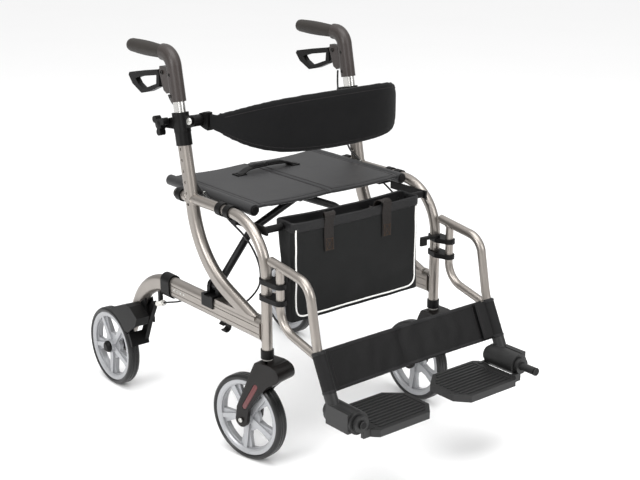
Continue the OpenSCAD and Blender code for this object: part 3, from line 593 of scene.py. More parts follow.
# White acetal of washers and cable adjusters: small pale accents
WHITE_ACETAL = Moulded(
    "white acetal",
    "#d2d0cb",
    "#c6c4bf",
    roughness=0.36,
    patch_mm=12.0,
    edge_mm=0.4,
    grain_mm=1.5,
    grain_depth=0.04,
)
# Dark red reflector inlay in the fork arms: the only colour on the chair
INLAY_RED = Moulded(
    "dark red inlay",
    "#5c1f22",
    "#4a181a",
    roughness=0.34,
    patch_mm=9.0,
    edge_mm=0.5,
    grain_mm=1.4,
    grain_depth=0.1,
)
# Zinc plated screws and bolts: small bright points
ZINC = Moulded(
    "zinc plated steel",
    "#c9c9c6",
    "#b4b4b0",
    roughness=0.28,
    metallic=1.0,
    patch_mm=6.0,
    edge_mm=0.3,
    grain_mm=1.0,
    grain_depth=0.05,
)
# Blackened screws: dark heads with a metal glint
DARK_SCREW = Moulded(
    "blackened screw",
    "#1c1a19",
    "#2a2826",
    roughness=0.34,
    metallic=0.7,
    patch_mm=5.0,
    edge_mm=0.3,
    grain_mm=1.0,
    grain_depth=0.05,
)
# Sewing thread, drawn thick enough to show: a dark grey line on the cloth
THREAD = Moulded(
    "sewing thread",
    "#232021",
    "#302c2d",
    roughness=0.8,
    patch_mm=4.0,
    mirror=0.3,
    grain_mm=0.8,
    grain_depth=0.2,
)
# Tan sewing thread: a warm brown line on the black cloth
TAN_THREAD = Moulded(
    "tan sewing thread",
    "#4a3826",
    "#3a2b1e",
    roughness=0.8,
    patch_mm=4.0,
    mirror=0.3,
    grain_mm=0.8,
    grain_depth=0.2,
)


def mark_edges(bm: bmesh.types.BMesh, degrees: float = 38.0) -> None:
    """Shades the faces smooth and keeps the sharp edges.

    Args:
        bm: mesh to mark.
        degrees: angle between two faces from which their edge stays sharp.
    """
    for face in bm.faces:
        face.smooth = True
    for edge in bm.edges:
        edge.smooth = edge.calc_face_angle(0.0) < math.radians(degrees)


def box_map(bm: bmesh.types.BMesh) -> None:
    """Gives each face a UV map in metres along the two axes that it faces least.

    Args:
        bm: mesh to map.
    """
    layer = bm.loops.layers.uv.verify()
    for face in bm.faces:
        weights = [abs(part) for part in face.normal]
        drop = weights.index(max(weights))
        keep = [axis for axis in range(3) if axis != drop]
        for loop in face.loops:
            loop[layer].uv = (loop.vert.co[keep[0]], loop.vert.co[keep[1]])


def make_piece(name: str, bm: bmesh.types.BMesh, finish: Finish, body: str) -> bpy.types.Object:
    """Turns a bmesh into a named piece that rides on a body.

    Args:
        name: name of the piece.
        bm: its shape, which is freed.
        finish: its surface.
        body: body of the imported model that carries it.

    Returns:
        The new object.
    """
    bm.normal_update()
    mark_edges(bm)
    box_map(bm)
    mesh = bpy.data.meshes.new(name)
    bm.to_mesh(mesh)
    bm.free()
    piece = bpy.data.objects.new(name, mesh)
    bpy.context.scene.collection.objects.link(piece)
    mesh.materials.append(finish.material())
    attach(piece, body)
    LOG.info("%s rides on %s in %s", name, body, finish.name)
    return piece


def join_into(bm: bmesh.types.BMesh, part: bmesh.types.BMesh) -> None:
    """Adds a finished part to a piece and frees the part.

    Args:
        bm: piece that takes the part.
        part: part to add.
    """
    mesh = bpy.data.meshes.new("part")
    part.to_mesh(mesh)
    part.free()
    bm.from_mesh(mesh)
    bpy.data.meshes.remove(mesh)


def path_frames(
    points: Sequence[Vector], across: Vector | None = None, cyclic: bool = False
) -> list[Matrix]:
    """Frames along a path: X across it, Z along it.

    Args:
        points: points of the path in metres.
        across: direction that X keeps to, or None to turn as little as possible.
        cyclic: whether the path closes on itself.

    Returns:
        One matrix for each point.
    """
    count = len(points)
    frames = []
    lead = across
    for i, point in enumerate(points):
        before = points[i - 1] if i or cyclic else point
        after = points[(i + 1) % count] if i < count - 1 or cyclic else point
        along = (after - before).normalized()
        lead = lead or along.orthogonal()
        x_axis = (lead - along * lead.dot(along)).normalized()
        y_axis = along.cross(x_axis)
        turn = Matrix((x_axis, y_axis, along)).transposed().to_4x4()
        frames.append(Matrix.Translation(point) @ turn)
        lead = across or x_axis
    return frames


def sweep_into(
    bm: bmesh.types.BMesh,
    frames: Sequence[Matrix],
    section: Sequence[tuple[float, float]],
    cyclic: bool = False,
) -> None:
    """Extrudes a closed section along frames, with capped ends or as a ring.

    Args:
        bm: bmesh that takes the run.
        frames: frames of the path.
        section: outline in metres.
        cyclic: whether the last frame joins the first.
    """
    part = bmesh.new()
    ring = [part.verts.new(frames[0] @ Vector((x, y, 0.0))) for x, y in section]
    first = [part.edges.new(pair) for pair in zip(ring, ring[1:] + ring[:1])]
    edges = first
    if not cyclic:
        part.faces.new(ring)
    for before, here in zip(frames, frames[1:]):
        grown = bmesh.ops.extrude_edge_only(part, edges=edges)["geom"]
        verts = {item for item in grown if isinstance(item, bmesh.types.BMVert)}
        edges = [
            item for item in grown if isinstance(item, bmesh.types.BMEdge) and set(item.verts) <= verts
        ]
        bmesh.ops.transform(part, matrix=here @ before.inverted(), verts=list(verts))
    if cyclic:
        bmesh.ops.bridge_loops(part, edges=edges + first)
    else:
        bmesh.ops.contextual_create(part, geom=edges)
    bmesh.ops.recalc_face_normals(part, faces=part.faces)
    join_into(bm, part)


def round_section(radius: float, sides: int = 10) -> list[tuple[float, float]]:
    """Outline of a round cord, in metres for a radius in millimetres."""
    turns = [math.tau * i / sides for i in range(sides)]
    return [(radius * MM * math.cos(a), radius * MM * math.sin(a)) for a in turns]


def flat_section(width: float, thick: float, cuts: int = 1) -> list[tuple[float, float]]:
    """Outline of a flat tape, in metres for sizes in millimetres.

    Args:
        width: width of the tape.
        thick: its thickness.
        cuts: how many parts its width is cut into.

    Returns:
        The outline, with both narrow edges rounded by one point.
    """
    half, low = width / 2, thick / 2
    across = [-half + low + (width - thick) * i / cuts for i in range(cuts + 1)]
    under = [(x * MM, -low * MM) for x in across]
    over = [(x * MM, low * MM) for x in reversed(across)]
    return under + [(half * MM, 0.0)] + over + [(-half * MM, 0.0)]


def tube_into(
    bm: bmesh.types.BMesh, points: Sequence[Vector], radius: float, sides: int = 10, cyclic: bool = False
) -> None:
    """Adds a round cord of a radius in millimetres along points."""
    sweep_into(bm, path_frames(points, None, cyclic), round_section(radius, sides), cyclic)


def lathe_into(
    bm: bmesh.types.BMesh,
    profile: Sequence[tuple[float, float]],
    origin: Vector,
    axis: Vector,
    steps: int = 28,
) -> None:
    """Spins a profile about an axis.

    Args:
        bm: bmesh that takes the shape.
        profile: radius and height pairs in millimetres, closed at the axis or as a ring.
        origin: place of height zero.
        axis: direction of the heights.
        steps: how many flats the round has.
    """
    part = bmesh.new()
    verts = [part.verts.new((radius * MM, 0.0, height * MM)) for radius, height in profile]
    edges = [part.edges.new(pair) for pair in zip(verts, verts[1:])]
    if profile[0][0] > 0 and profile[-1][0] > 0:
        edges.append(part.edges.new((verts[-1], verts[0])))
    bmesh.ops.spin(
        part,
        geom=verts + edges,
        cent=(0.0, 0.0, 0.0),
        axis=(0.0, 0.0, 1.0),
        dvec=(0.0, 0.0, 0.0),
        angle=math.tau,
        steps=steps,
        use_merge=True,
        use_duplicate=False,
    )
    bmesh.ops.remove_doubles(part, verts=part.verts, dist=1e-6)
    bmesh.ops.recalc_face_normals(part, faces=part.faces)
    turn = Vector((0.0, 0.0, 1.0)).rotation_difference(axis).to_matrix().to_4x4()
    bmesh.ops.transform(part, matrix=Matrix.Translation(origin) @ turn, verts=part.verts)
    join_into(bm, part)


def round_edges(
    bm: bmesh.types.BMesh,
    edges: Sequence[bmesh.types.BMEdge],
    offset: float,
    segments: int = 2,
    clamp: bool = False,
) -> None:
    """Rounds edges of a mesh.

    Args:
        bm: mesh to round.
        edges: its edges that are rounded.
        offset: width of the rounding, in the mesh's own unit.
        segments: how many flats the rounding has.
        clamp: whether the width gives way where two roundings would meet.
    """
    bmesh.ops.bevel(
        bm,
        geom=edges,
        offset=offset,
        affect="EDGES",
        segments=segments,
        profile=0.5,
        material=-1,
        clamp_overlap=clamp,
    )


def bar_into(bm: bmesh.types.BMesh, size: Sequence[float], place: Matrix, edge: float) -> None:
    """Adds a bar with rounded edges.

    Args:
        bm: bmesh that takes the bar.
        size: its three sides in millimetres.
        place: where its middle lies and how it is turned.
        edge: rounding of its edges in millimetres.
    """
    part = bmesh.new()
    bmesh.ops.create_cube(part, size=1.0)
    bmesh.ops.scale(part, vec=Vector(size) * MM, verts=part.verts)
    round_edges(part, part.edges[:], edge * MM)
    bmesh.ops.transform(part, matrix=place, verts=part.verts)
    join_into(bm, part)


def screw_into(bm: bmesh.types.BMesh, origin: Vector, axis: Vector, radius: float, height: float) -> None:
    """Adds a domed screw head with a hollow drive, on a surface that faces along the axis.

    Args:
        bm: piece that takes the screw head.
        origin: point on the surface, in metres.
        axis: direction that the head faces.
        radius: radius of the head, in millimetres.
        height: height of the head, in millimetres.
    """
    profile = [
        (0.0, height * 0.45),
        (radius * 0.42, height * 0.45),
        (radius * 0.46, height),
        (radius * 0.8, height * 0.85),
        (radius, height * 0.35),
        (radius, -0.4),
        (0.0, -0.4),
    ]
    lathe_into(bm, profile, origin, axis, 18)


def stitches_into(
    bm: bmesh.types.BMesh,
    points: Sequence[Vector],
    pitch: float = 5.0,
    length: float = 3.4,
    radius: float = 0.5,
) -> None:
    """Adds a run of stitches along a path on a surface.

    Args:
        bm: bmesh that takes the thread.
        points: points of the run.
        pitch: distance from stitch to stitch in millimetres.
        length: length of one stitch.
        radius: half the thread's thickness.
    """
    left = 0.0
    for start, end in zip(points, points[1:]):
        run = end - start
        reach = run.length
        if reach < 1e-9:
            continue
        turn = Vector((0.0, 0.0, 1.0)).rotation_difference(run.normalized()).to_matrix().to_4x4()
        while left < reach:
            middle = start + run * (left / reach)
            bmesh.ops.create_cone(
                bm,
                cap_ends=True,
                segments=5,
                radius1=radius * MM,
                radius2=radius * MM,
                depth=length * MM,
                matrix=Matrix.Translation(middle) @ turn,
            )
            left += pitch * MM
        left -= reach


def along(start: Vector, end: Vector, count: int) -> list[Vector]:
    """Evenly spaced points from start to end."""
    return [start.lerp(end, i / (count - 1)) for i in range(count)]


def rounded(points: Sequence[Vector], radius: float, steps: int = 6) -> list[Vector]:
    """Path through points whose inner corners are rounded.

    Args:
        points: corner points in metres.
        radius: length in millimetres that a corner takes from each of its runs.
        steps: how many points a corner has.

    Returns:
        The smoothed path.
    """
    path = [points[0]]
    for before, corner, after in zip(points, points[1:], points[2:]):
        reach = min(radius * MM, (corner - before).length * 0.49, (after - corner).length * 0.49)
        start = corner + (before - corner).normalized() * reach
        end = corner + (after - corner).normalized() * reach
        for i in range(steps + 1):
            f = i / steps
            path.append(start.lerp(corner, f).lerp(corner.lerp(end, f), f))
    path.append(points[-1])
    return path


def merged_copy(name: str) -> bmesh.types.BMesh:
    """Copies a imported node's mesh, its loose triangles merged to flat faces.

    Args:
        name: name of the node.

    Returns:
        The merged mesh.
    """
    bm = bmesh.new()
    bm.from_mesh(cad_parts[name].data)
    bmesh.ops.remove_doubles(bm, verts=bm.verts, dist=1e-6)
    bmesh.ops.dissolve_limit(bm, angle_limit=math.radians(0.5), verts=bm.verts, edges=bm.edges)
    return bm


class Surfaces:
    """Ray tests on the meshes of nodes and pieces, so that trim sits on what carries it."""

    def __init__(self) -> None:
        """Starts with no meshes known."""
        self.trees: dict[str, BVHTree] = {}

    def tree(self, name: str) -> BVHTree:
        """Gives the search tree of a node or piece, built on first use.

        Args:
            name: name of the node or piece.

        Returns:
            The tree of its faces.
        """
        if name not in self.trees:
            holder = bpy.data.objects[name]
            corners = [vert.co.copy() for vert in holder.data.vertices]
            faces = [tuple(face.vertices) for face in holder.data.polygons]
            self.trees[name] = BVHTree.FromPolygons(corners, faces)
        return self.trees[name]

    def hit(self, name: str, origin: Vector, aim: Vector) -> tuple[Vector, Vector] | None:
        """First point that a ray meets.

        Args:
            name: node or piece to test.
            origin: start of the ray.
            aim: its direction.

        Returns:
            The point and the outward normal there, or None.
        """
        place, normal, _, _ = self.tree(name).ray_cast(origin, aim)
        if place is None:
            return None
        return place, normal if normal.dot(aim) < 0 else -normal

    def lay(self, name: str, points: Iterable[Vector], aim: Vector, lift: float) -> list[Vector]:
        """Points dropped along a direction onto a surface, raised by a lift in millimetres."""
        found = [self.hit(name, point, aim) for point in points]
        return [spot[0] + spot[1] * lift * MM for spot in found if spot]


SURFACES = Surfaces()


# How a cover is swollen: net size in millimetres, pressure inside, cloth stiffness and length of the run
COVER_VOXEL = 5.0
COVER_PRESSURE = 4.0
COVER_STIFFNESS = 30
COVER_FRAMES = 20


def inflate(piece: bpy.types.Object, voxel: float, pressure: float, cap: float) -> None:
    """Swells a closed cover by cloth simulation, as its filling does.

    Args:
        piece: closed mesh at the origin, whose mesh is replaced.
        voxel: remesh size in millimetres.
        pressure: pressure inside the cover.
        cap: furthest that a point may move, in millimetres.
    """
    scene = bpy.context.scene
    remesh = piece.modifiers.new("remesh", "REMESH")
    remesh.mode = "VOXEL"
    remesh.voxel_size = voxel * MM
    fine = bpy.data.meshes.new_from_object(piece.evaluated_get(bpy.context.evaluated_depsgraph_get()))
    piece.modifiers.clear()
    piece.data = fine
    rest = [vert.co.copy() for vert in fine.vertices]
    cloth = piece.modifiers.new("cover", "CLOTH")
    cloth.settings.quality = 4
    cloth.settings.mass = 0.2
    cloth.settings.tension_stiffness = COVER_STIFFNESS
    cloth.settings.compression_stiffness = COVER_STIFFNESS
    cloth.settings.use_pressure = True
    cloth.settings.uniform_pressure_force = pressure
    cloth.settings.effector_weights.gravity = 0.0
    for step in range(1, COVER_FRAMES + 1):
        scene.frame_set(step)
    graph = bpy.context.evaluated_depsgraph_get()
    swollen = bpy.data.meshes.new_from_object(piece.evaluated_get(graph))
    piece.modifiers.clear()
    for vert, moved, start in zip(fine.vertices, swollen.vertices, rest):
        shift = moved.co - start
        vert.co = start + shift * min(1.0, cap * MM / max(shift.length, 1e-9))
    bpy.data.meshes.remove(swollen)
    scene.frame_set(1)


def pad_piece(
    name: str,
    bm: bmesh.types.BMesh,
    finish: Finish,
    body: str,
    cap: float,
    dents: Callable[[Vector], Vector],
) -> bpy.types.Object:
    """Makes a stuffed piece: swells its cover, then draws in its seams.

    Args:
        name: name of the piece.
        bm: closed starting shape, a little smaller than the pad.
        finish: cover cloth.
        body: body that carries it.
        cap: furthest swelling in millimetres.
        dents: moves a point of the cover where a seam draws it in.

    Returns:
        The pad.
    """
    bmesh.ops.recalc_face_normals(bm, faces=bm.faces)
    mesh = bpy.data.meshes.new(name)
    bm.to_mesh(mesh)
    bm.free()
    draft = bpy.data.objects.new(name + "_draft", mesh)
    bpy.context.scene.collection.objects.link(draft)
    inflate(draft, COVER_VOXEL, COVER_PRESSURE, cap)
    soft = bmesh.new()
    soft.from_mesh(draft.data)
    bpy.data.objects.remove(draft)
    bmesh.ops.smooth_vert(
        soft, verts=soft.verts, factor=0.5, use_axis_x=True, use_axis_y=True, use_axis_z=True
    )
    for vert in soft.verts:
        vert.co = dents(vert.co)
    pad = make_piece(name, soft, finish, body)
    for polygon in pad.data.polygons:
        polygon.use_smooth = True
    smooth = pad.modifiers.new("smooth", "SUBSURF")
    smooth.levels = 1
    smooth.render_levels = 1
    return pad


@dataclass
class Studio:
    """Plain pale floor, soft light and a camera at the photograph's angle."""

    azimuth: float = -39.0746
    elevation: float = 17.6006
    distance: float = 2108.556
    target: tuple[float, float, float] = (-507.958, -682.496, 696.753)
    focal_px: float = 1278.03
    frame_px: float = 640.0
    floor_half: float = 60.0
    side_glow: float = 0.3
    top_glow: float = 1.15

    def build(self) -> None:
        """Makes floor, world, lights and camera."""
        self.floor()
        self.light()
        self.camera()

    def floor(self) -> None:
        """Lays a pale floor that runs past the view."""
        bm = bmesh.new()
        bmesh.ops.create_grid(bm, x_segments=4, y_segments=4, size=self.floor_half)
        mesh = bpy.data.meshes.new("studio_floor")
        bm.to_mesh(mesh)
        bm.free()
        floor = bpy.data.objects.new("studio_floor", mesh)
        bpy.context.scene.collection.objects.link(floor)
        paper = Finish("studio paper", "#fbfbfb", "#f7f7f7", roughness=0.7, patch_mm=900.0)
        mesh.materials.append(paper.material())

    def light(self) -> None:
        """Hangs three soft panels under a dome that is bright on top and dimmer at the sides."""
        scene = bpy.context.scene
        scene.view_settings.view_transform = "Standard"
        world = bpy.data.worlds.new("studio")
        world.use_nodes = True
        tree = world.node_tree
        coords = add_node(tree, "ShaderNodeTexCoord")
        split = add_node(tree, "ShaderNodeSeparateXYZ", inputs={0: coords.outputs["Generated"]})
        dome = add_node(
            tree,
            "ShaderNodeMapRange",
            inputs={
                "Value": split.outputs["Z"],
                "From Max": 0.8,
                "To Min": self.side_glow,
                "To Max": self.top_glow,
            },
        )
        tree.links.new(dome.outputs["Result"], tree.nodes["Background"].inputs["Strength"])
        tree.nodes["Background"].inputs["Color"].default_value = (1.0, 1.0, 1.0, 1.0)
        scene.world = world
        panels = {
            "overhead_panel": ((-0.4, -0.6, 3.2), (0.0, 0.0, 0.3), 2.6, 80.0),
            "left_panel": ((-2.8, -0.6, 1.7), (0.0, 0.0, 0.5), 1.4, 46.0),
            "front_panel": ((0.6, -3.2, 1.9), (0.0, 0.0, 0.4), 1.5, 36.0),
        }
        for name, (place, aim, size, power) in panels.items():
            lamp = bpy.data.lights.new(name, "AREA")
            lamp.size = size
            lamp.energy = power
            panel = bpy.data.objects.new(name, lamp)
            panel.location = place
            panel.rotation_euler = (Vector(aim) - Vector(place)).to_track_quat("-Z", "Y").to_euler()
            scene.collection.objects.link(panel)

    def camera(self) -> None:
        """Sets the camera that was solved from the photograph."""
        lens = bpy.data.cameras.new("photo_camera")
        lens.sensor_fit = "HORIZONTAL"
        lens.sensor_width = 36.0
        lens.lens = self.focal_px / self.frame_px * lens.sensor_width
        eye = bpy.data.objects.new("photo_camera", lens)
        turn, tilt = math.radians(self.azimuth), math.radians(self.elevation)
        back = Vector(
            (math.sin(turn) * math.cos(tilt), -math.cos(turn) * math.cos(tilt), math.sin(tilt))
        )
        eye.location = (Vector(self.target) + back * self.distance) * MM
        eye.rotation_euler = (math.pi / 2 - tilt, 0.0, turn)
        bpy.context.scene.collection.objects.link(eye)
        bpy.context.scene.camera = eye


@dataclass
class FrameDress:
    """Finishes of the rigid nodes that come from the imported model."""

    def dress(self) -> None:
        """Gives each rigid node the material of its real piece."""
        finishes = {
            "arch_tube": FRAME_PAINT,
            "rear_post": FRAME_PAINT,
            "lower_rail": FRAME_PAINT,
            "rear_leg": FRAME_PAINT,
            "hanger": FRAME_PAINT,
            "brace": BRACE_PAINT,
            "housing": HOUSING_ABS,
            "caster_fork": FORK_ABS,
            "grip": GRIP_RUBBER,
            "rear_tyre": TYRE_RUBBER,
            "caster_tyre": TYRE_RUBBER,
            "rear_rim": RIM_PAINT,
            "caster_rim": RIM_PAINT,
            "footplate": PLATE_PP,
            "foot_hinge": PLATE_PP,
            "handle_tube": HANDLE_TUBE,
            "brake_cable": CABLE_PVC,
        }
        for name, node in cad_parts.items():
            finish = finishes.get(name.split("_", 1)[1] if "_" in name else name, FITTING_NYLON)
            node.data.materials.clear()
            node.data.materials.append(finish.material())
            LOG.info("%s keeps its shape in %s", name, finish.name)


@dataclass
class WeldBeads:
    """Weld beads where the tubes of a side frame meet, found by rays on the real surfaces."""

    side: Side
    bead: float = 1.7
    ripple: float = 0.25
    clear: float = 0.4
    turns: int = 40
    rail_d: float = 24.0
    before_post: tuple[float, float] = (225.0, 553.0)
    behind_post: tuple[float, float] = (330.0, 553.0)
    low_rail: tuple[float, float] = (26.0, 315.0)
    low_rail_h: float = 50.0
    low_rail_w: float = 26.0
    swing_d: float = 18.5
    swing_top: tuple[float, float] = (-48.0, 440.0)
    swing_foot: tuple[float, float] = (-140.0, 318.6)
    swing_run: tuple[float, float] = (-130.0, -33.0)

    def ring(
        self, bm: bmesh.types.BMesh, node: str, start: Vector, aim: Vector, long: float, wide: float
    ) -> None:
        """Lays a bead around a tube where it runs into a node.

        Args:
            bm: bmesh that takes the bead.
            node: node that the tube meets.
            start: point on the tube's axis before the joint.
            aim: direction toward the joint.
            long: upright size of the tube's section in millimetres.
            wide: its size across.
        """
        cross = Vector((1.0, 0.0, 0.0))
        upright = aim.cross(cross).normalized()
        straight = max(0.0, (long - wide) / 2)
        points = []
        for i in range(self.turns):
            turn = math.tau * i / self.turns
            reach = wide / 2 + self.clear
            rise = reach * math.sin(turn) + math.copysign(straight, math.sin(turn))
            offset = cross * reach * math.cos(turn) + upright * rise
            found = SURFACES.hit(node, start + offset * MM, aim)
            if found:
                points.append(found[0])
        frames = path_frames(points, None, True)
        waves = [1.0 + self.ripple * math.sin(i * math.tau / 4) for i in range(len(frames))]
        frames = [place @ Matrix.Scale(wave, 4) for place, wave in zip(frames, waves)]
        sweep_into(bm, frames, round_section(self.bead, 8), True)

    def build(self) -> None:
        """Makes the beads of the frame and of the foot hanger."""
        side, word = self.side, self.side.word
        bm = bmesh.new()
        post, hanger = word + "_rear_post", word + "_hanger"
        forward = PLAN.aim(side, -1, 0)
        self.ring(bm, post, PLAN.at(side, *self.before_post), -forward, self.rail_d, self.rail_d)
        self.ring(bm, post, PLAN.at(side, *self.behind_post), forward, self.rail_d, self.rail_d)
        rail = PLAN.at(side, *self.low_rail)
        self.ring(bm, word + "_arch_tube", rail, forward, self.low_rail_h, self.low_rail_w)
        make_piece(word + "_frame_welds", bm, FRAME_PAINT, word + "_frame")
        bm = bmesh.new()
        top, foot = PLAN.at(side, *self.swing_top), PLAN.at(side, *self.swing_foot)
        self.ring(bm, hanger, top, PLAN.aim(side, 0, 1), self.swing_d, self.swing_d)
        self.ring(bm, hanger, foot, PLAN.aim(side, *self.swing_run), self.swing_d, self.swing_d)
        make_piece(word + "_hanger_welds", bm, FRAME_PAINT, word + "_hanger")


@dataclass
class SeatHalf:
    """Half of the folding seat: padded panel, rail hem, rail plugs and half of the pull handle."""

    side: Side
    rail_u: float = 33.0
    rail_z: float = 561.0
    front_v: float = 84.0
    depth: float = 333.0
    inner_u: float = 246.5
    crease_u: float = 247.6
    draft_over: float = 7.0
    wrap_r: float = 13.0
    panel_t: float = 9.0
    panel_swell: float = 1.6
    lip: float = 2.5
    hollow: float = 3.5
    fall: float = 2.0
    hem_in: float = 6.0
    edge_in: float = 2.0
    hem_seam: float = 20.0
    edge_seam: float = 12.0
    seam_end: float = 8.0
    seam_width: float = 3.0
    seam_depth: float = 0.9
    crease_width: float = 5.0
    crease_depth: float = 1.6
    stitch_lift: float = 0.4
    ray_rise: float = 40.0
    hem_points: int = 90
    hem_slack: float = 0.025
    hem_waves: float = 60.0
    hem_under: float = 0.4
    plug_stem: tuple[tuple[float, float], ...] = ((0.0, -8.0), (9.4, -8.0), (9.4, 0.4))
    plug_head: tuple[tuple[float, float], ...] = (
        (10.0, 0.8),
        (10.0, 3.0),
        (8.6, 4.2),
        (4.0, 4.0),
        (0.0, 4.0),
    )
    handle_v: float = 328.0
    handle_w: float = 20.0
    handle_t: float = 6.0
    handle_reach: float = 84.0
    handle_bend: float = 14.0
    handle_arch: tuple[tuple[float, float], ...] = (
        (84.0, 9.0),
        (74.0, 10.0),
        (54.0, 19.0),
        (21.0, 21.0),
        (0.0, 21.0),
    )
    tab_l: float = 26.0
    tab_wider: float = 6.0
    tab_t: float = 4.0
    tab_edge: float = 1.4
    tab_over: float = 6.0
    tab_rise: float = 8.6
    rib_count: int = 8
    rib_first: float = 4.0
    rib_pitch: float = 5.6
    rib_w: float = 2.8
    rib_in: float = 2.0
    rib_t: float = 2.2
    rib_edge: float = 0.7
    rib_rise: float = 24.3
    rib_level: float = 24.0
    rib_slope: float = 0.07

    def top(self, share: float) -> float:
        """Height of the panel top over the rail centre, with the hollow of a sling."""
        sling = self.hollow * math.sin(math.pi * share)
        return self.wrap_r - self.lip - sling - self.fall * share

    def build(self) -> None:
        """Makes the pieces of this half."""
        panel = self.panel()
        self.hem()
        self.rail()
        self.handle()
        self.seams(panel)

    def panel(self) -> bpy.types.Object:
        """Makes the padded panel between the rail and the centre crease.

        Returns:
            The panel.
        """
        bm = bmesh.new()
        bmesh.ops.create_grid(bm, x_segments=30, y_segments=44, size=0.5)
        outer, inner = self.rail_u + self.hem_in, self.crease_u + self.draft_over
        for vert in bm.verts:
            share, back = vert.co.x + 0.5, vert.co.y + 0.5
            u = outer + (inner - outer) * share
            v = self.front_v + self.edge_in + (self.depth - 2 * self.edge_in) * back
            vert.co = PLAN.at(self.side, v, self.rail_z + self.top(share), u)
        grown = bmesh.ops.extrude_face_region(bm, geom=bm.faces[:])["geom"]
        low = [item for item in grown if isinstance(item, bmesh.types.BMVert)]
        bmesh.ops.translate(bm, vec=(0.0, 0.0, -self.panel_t * MM), verts=low)
        body = self.side.word + "_seat"
        pad = pad_piece(body + "_panel", bm, SEAT_CLOTH, body, self.panel_swell, self.draw_in)
        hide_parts(self.side.word + "_seat")
        return pad

    def draw_in(self, point: Vector) -> Vector:
        """Sinks the cover along its seams and keeps it on this side of the centre crease.

        Args:
            point: point of the swollen cover.

        Returns:
            The moved point.
        """
        u = PLAN.side_x - self.side.value * point.x / MM
        v = point.y / MM - PLAN.post_y
        seam = math.exp(-(((u - self.rail_u - self.hem_seam) / self.seam_width) ** 2))
        front = math.exp(-(((v - self.front_v - self.edge_seam) / self.seam_width) ** 2))
        crease = math.exp(-((max(0.0, self.crease_u - u) / self.crease_width) ** 2))
        kept = self.side.value * (PLAN.side_x - min(u, self.crease_u)) * MM
        sunk = self.seam_depth * max(seam, front) + self.crease_depth * crease
        return Vector((kept, point.y, point.z - sunk * MM))

    def hem(self) -> None:
        """Wraps the cloth around the rail, with the small slack wrinkles of a sleeve."""
        bm = bmesh.new()
        points = along(
            PLAN.at(self.side, self.front_v, self.rail_z, self.rail_u),
            PLAN.at(self.side, self.front_v + self.depth, self.rail_z, self.rail_u),
            self.hem_points,
        )
        frames = path_frames(points, Vector((1.0, 0.0, 0.0)))
        swell = [1.0 + self.hem_slack * noise.noise(point * self.hem_waves) for point in points]
        frames = [place @ Matrix.Scale(size, 4) for place, size in zip(frames, swell)]
        sweep_into(bm, frames, round_section(self.wrap_r - self.hem_under, 28))
        make_piece(self.side.word + "_seat_hem", bm, SEAT_CLOTH, self.side.word + "_seat")

    def rail(self) -> None:
        """Closes the rail's two ends with domed plugs."""
        bm = bmesh.new()
        ends = ((self.front_v, -1.0), (self.front_v + self.depth, 1.0))
        for v, way in ends:
            end = PLAN.at(self.side, v, self.rail_z, self.rail_u)
            lathe_into(bm, self.plug_stem + self.plug_head, end, Vector((0.0, way, 0.0)))
        word = self.side.word
        make_piece(word + "_seat_plugs", bm, FITTING_NYLON, word + "_seat")

    def handle_path(self) -> list[Vector]:
        """Draws the arched middle line of this half of the pull handle.

        Returns:
            The points of the line, from the seat to the crease.
        """
        points = [
            PLAN.at(self.side, self.handle_v, self.rail_z + rise, self.inner_u - inward)
            for inward, rise in self.handle_arch
        ]
        return rounded(points, self.handle_bend)

    def handle(self) -> None:
        """Makes half of the ribbed handle strap that pulls the seat up to fold the frame."""
        bm = bmesh.new()
        path = self.handle_path()
        section = flat_section(self.handle_w, self.handle_t, 4)
        sweep_into(bm, path_frames(path, Vector((0.0, 1.0, 0.0))), section)
        tab_u = self.inner_u - self.handle_reach + self.tab_over
        tab = PLAN.at(self.side, self.handle_v, self.rail_z + self.tab_rise, tab_u)
        tab_size = (self.tab_l, self.handle_w + self.tab_wider, self.tab_t)
        bar_into(bm, tab_size, Matrix.Translation(tab), self.tab_edge)
        rib_size = (self.rib_w, self.handle_w - self.rib_in, self.rib_t)
        for i in range(self.rib_count):
            inward = self.rib_first + self.rib_pitch * i
            rise = self.rib_rise - max(0.0, inward - self.rib_level) * self.rib_slope
            spot = PLAN.at(self.side, self.handle_v, self.rail_z + rise, self.inner_u - inward)
            bar_into(bm, rib_size, Matrix.Translation(spot), self.rib_edge)
        word = self.side.word
        make_piece(word + "_pull_handle", bm, FITTING_NYLON, word + "_seat")

    def seams(self, panel: bpy.types.Object) -> None:
        """Sews the hem, the front and the rear edge of the panel.

        Args:
            panel: the finished panel.
        """
        bm = bmesh.new()
        over = self.rail_z + self.ray_rise
        hem_u, edge_u = self.rail_u + self.hem_seam, self.inner_u - self.seam_end
        front, rear = self.front_v + self.edge_seam, self.front_v + self.depth - self.edge_seam
        first, last = front - self.seam_end, rear + self.seam_end
        runs = [
            ((first, hem_u), (last, hem_u)),
            ((front, hem_u), (front, edge_u)),
            ((rear, hem_u), (rear, edge_u)),
            ((first, edge_u), (last, edge_u)),
        ]
        for (v0, u0), (v1, u1) in runs:
            line = along(PLAN.at(self.side, v0, over, u0), PLAN.at(self.side, v1, over, u1), 60)
            laid = SURFACES.lay(panel.name, line, Vector((0.0, 0.0, -1.0)), self.stitch_lift)
            stitches_into(bm, laid)
        make_piece(self.side.word + "_seat_stitches", bm, THREAD, self.side.word + "_seat")


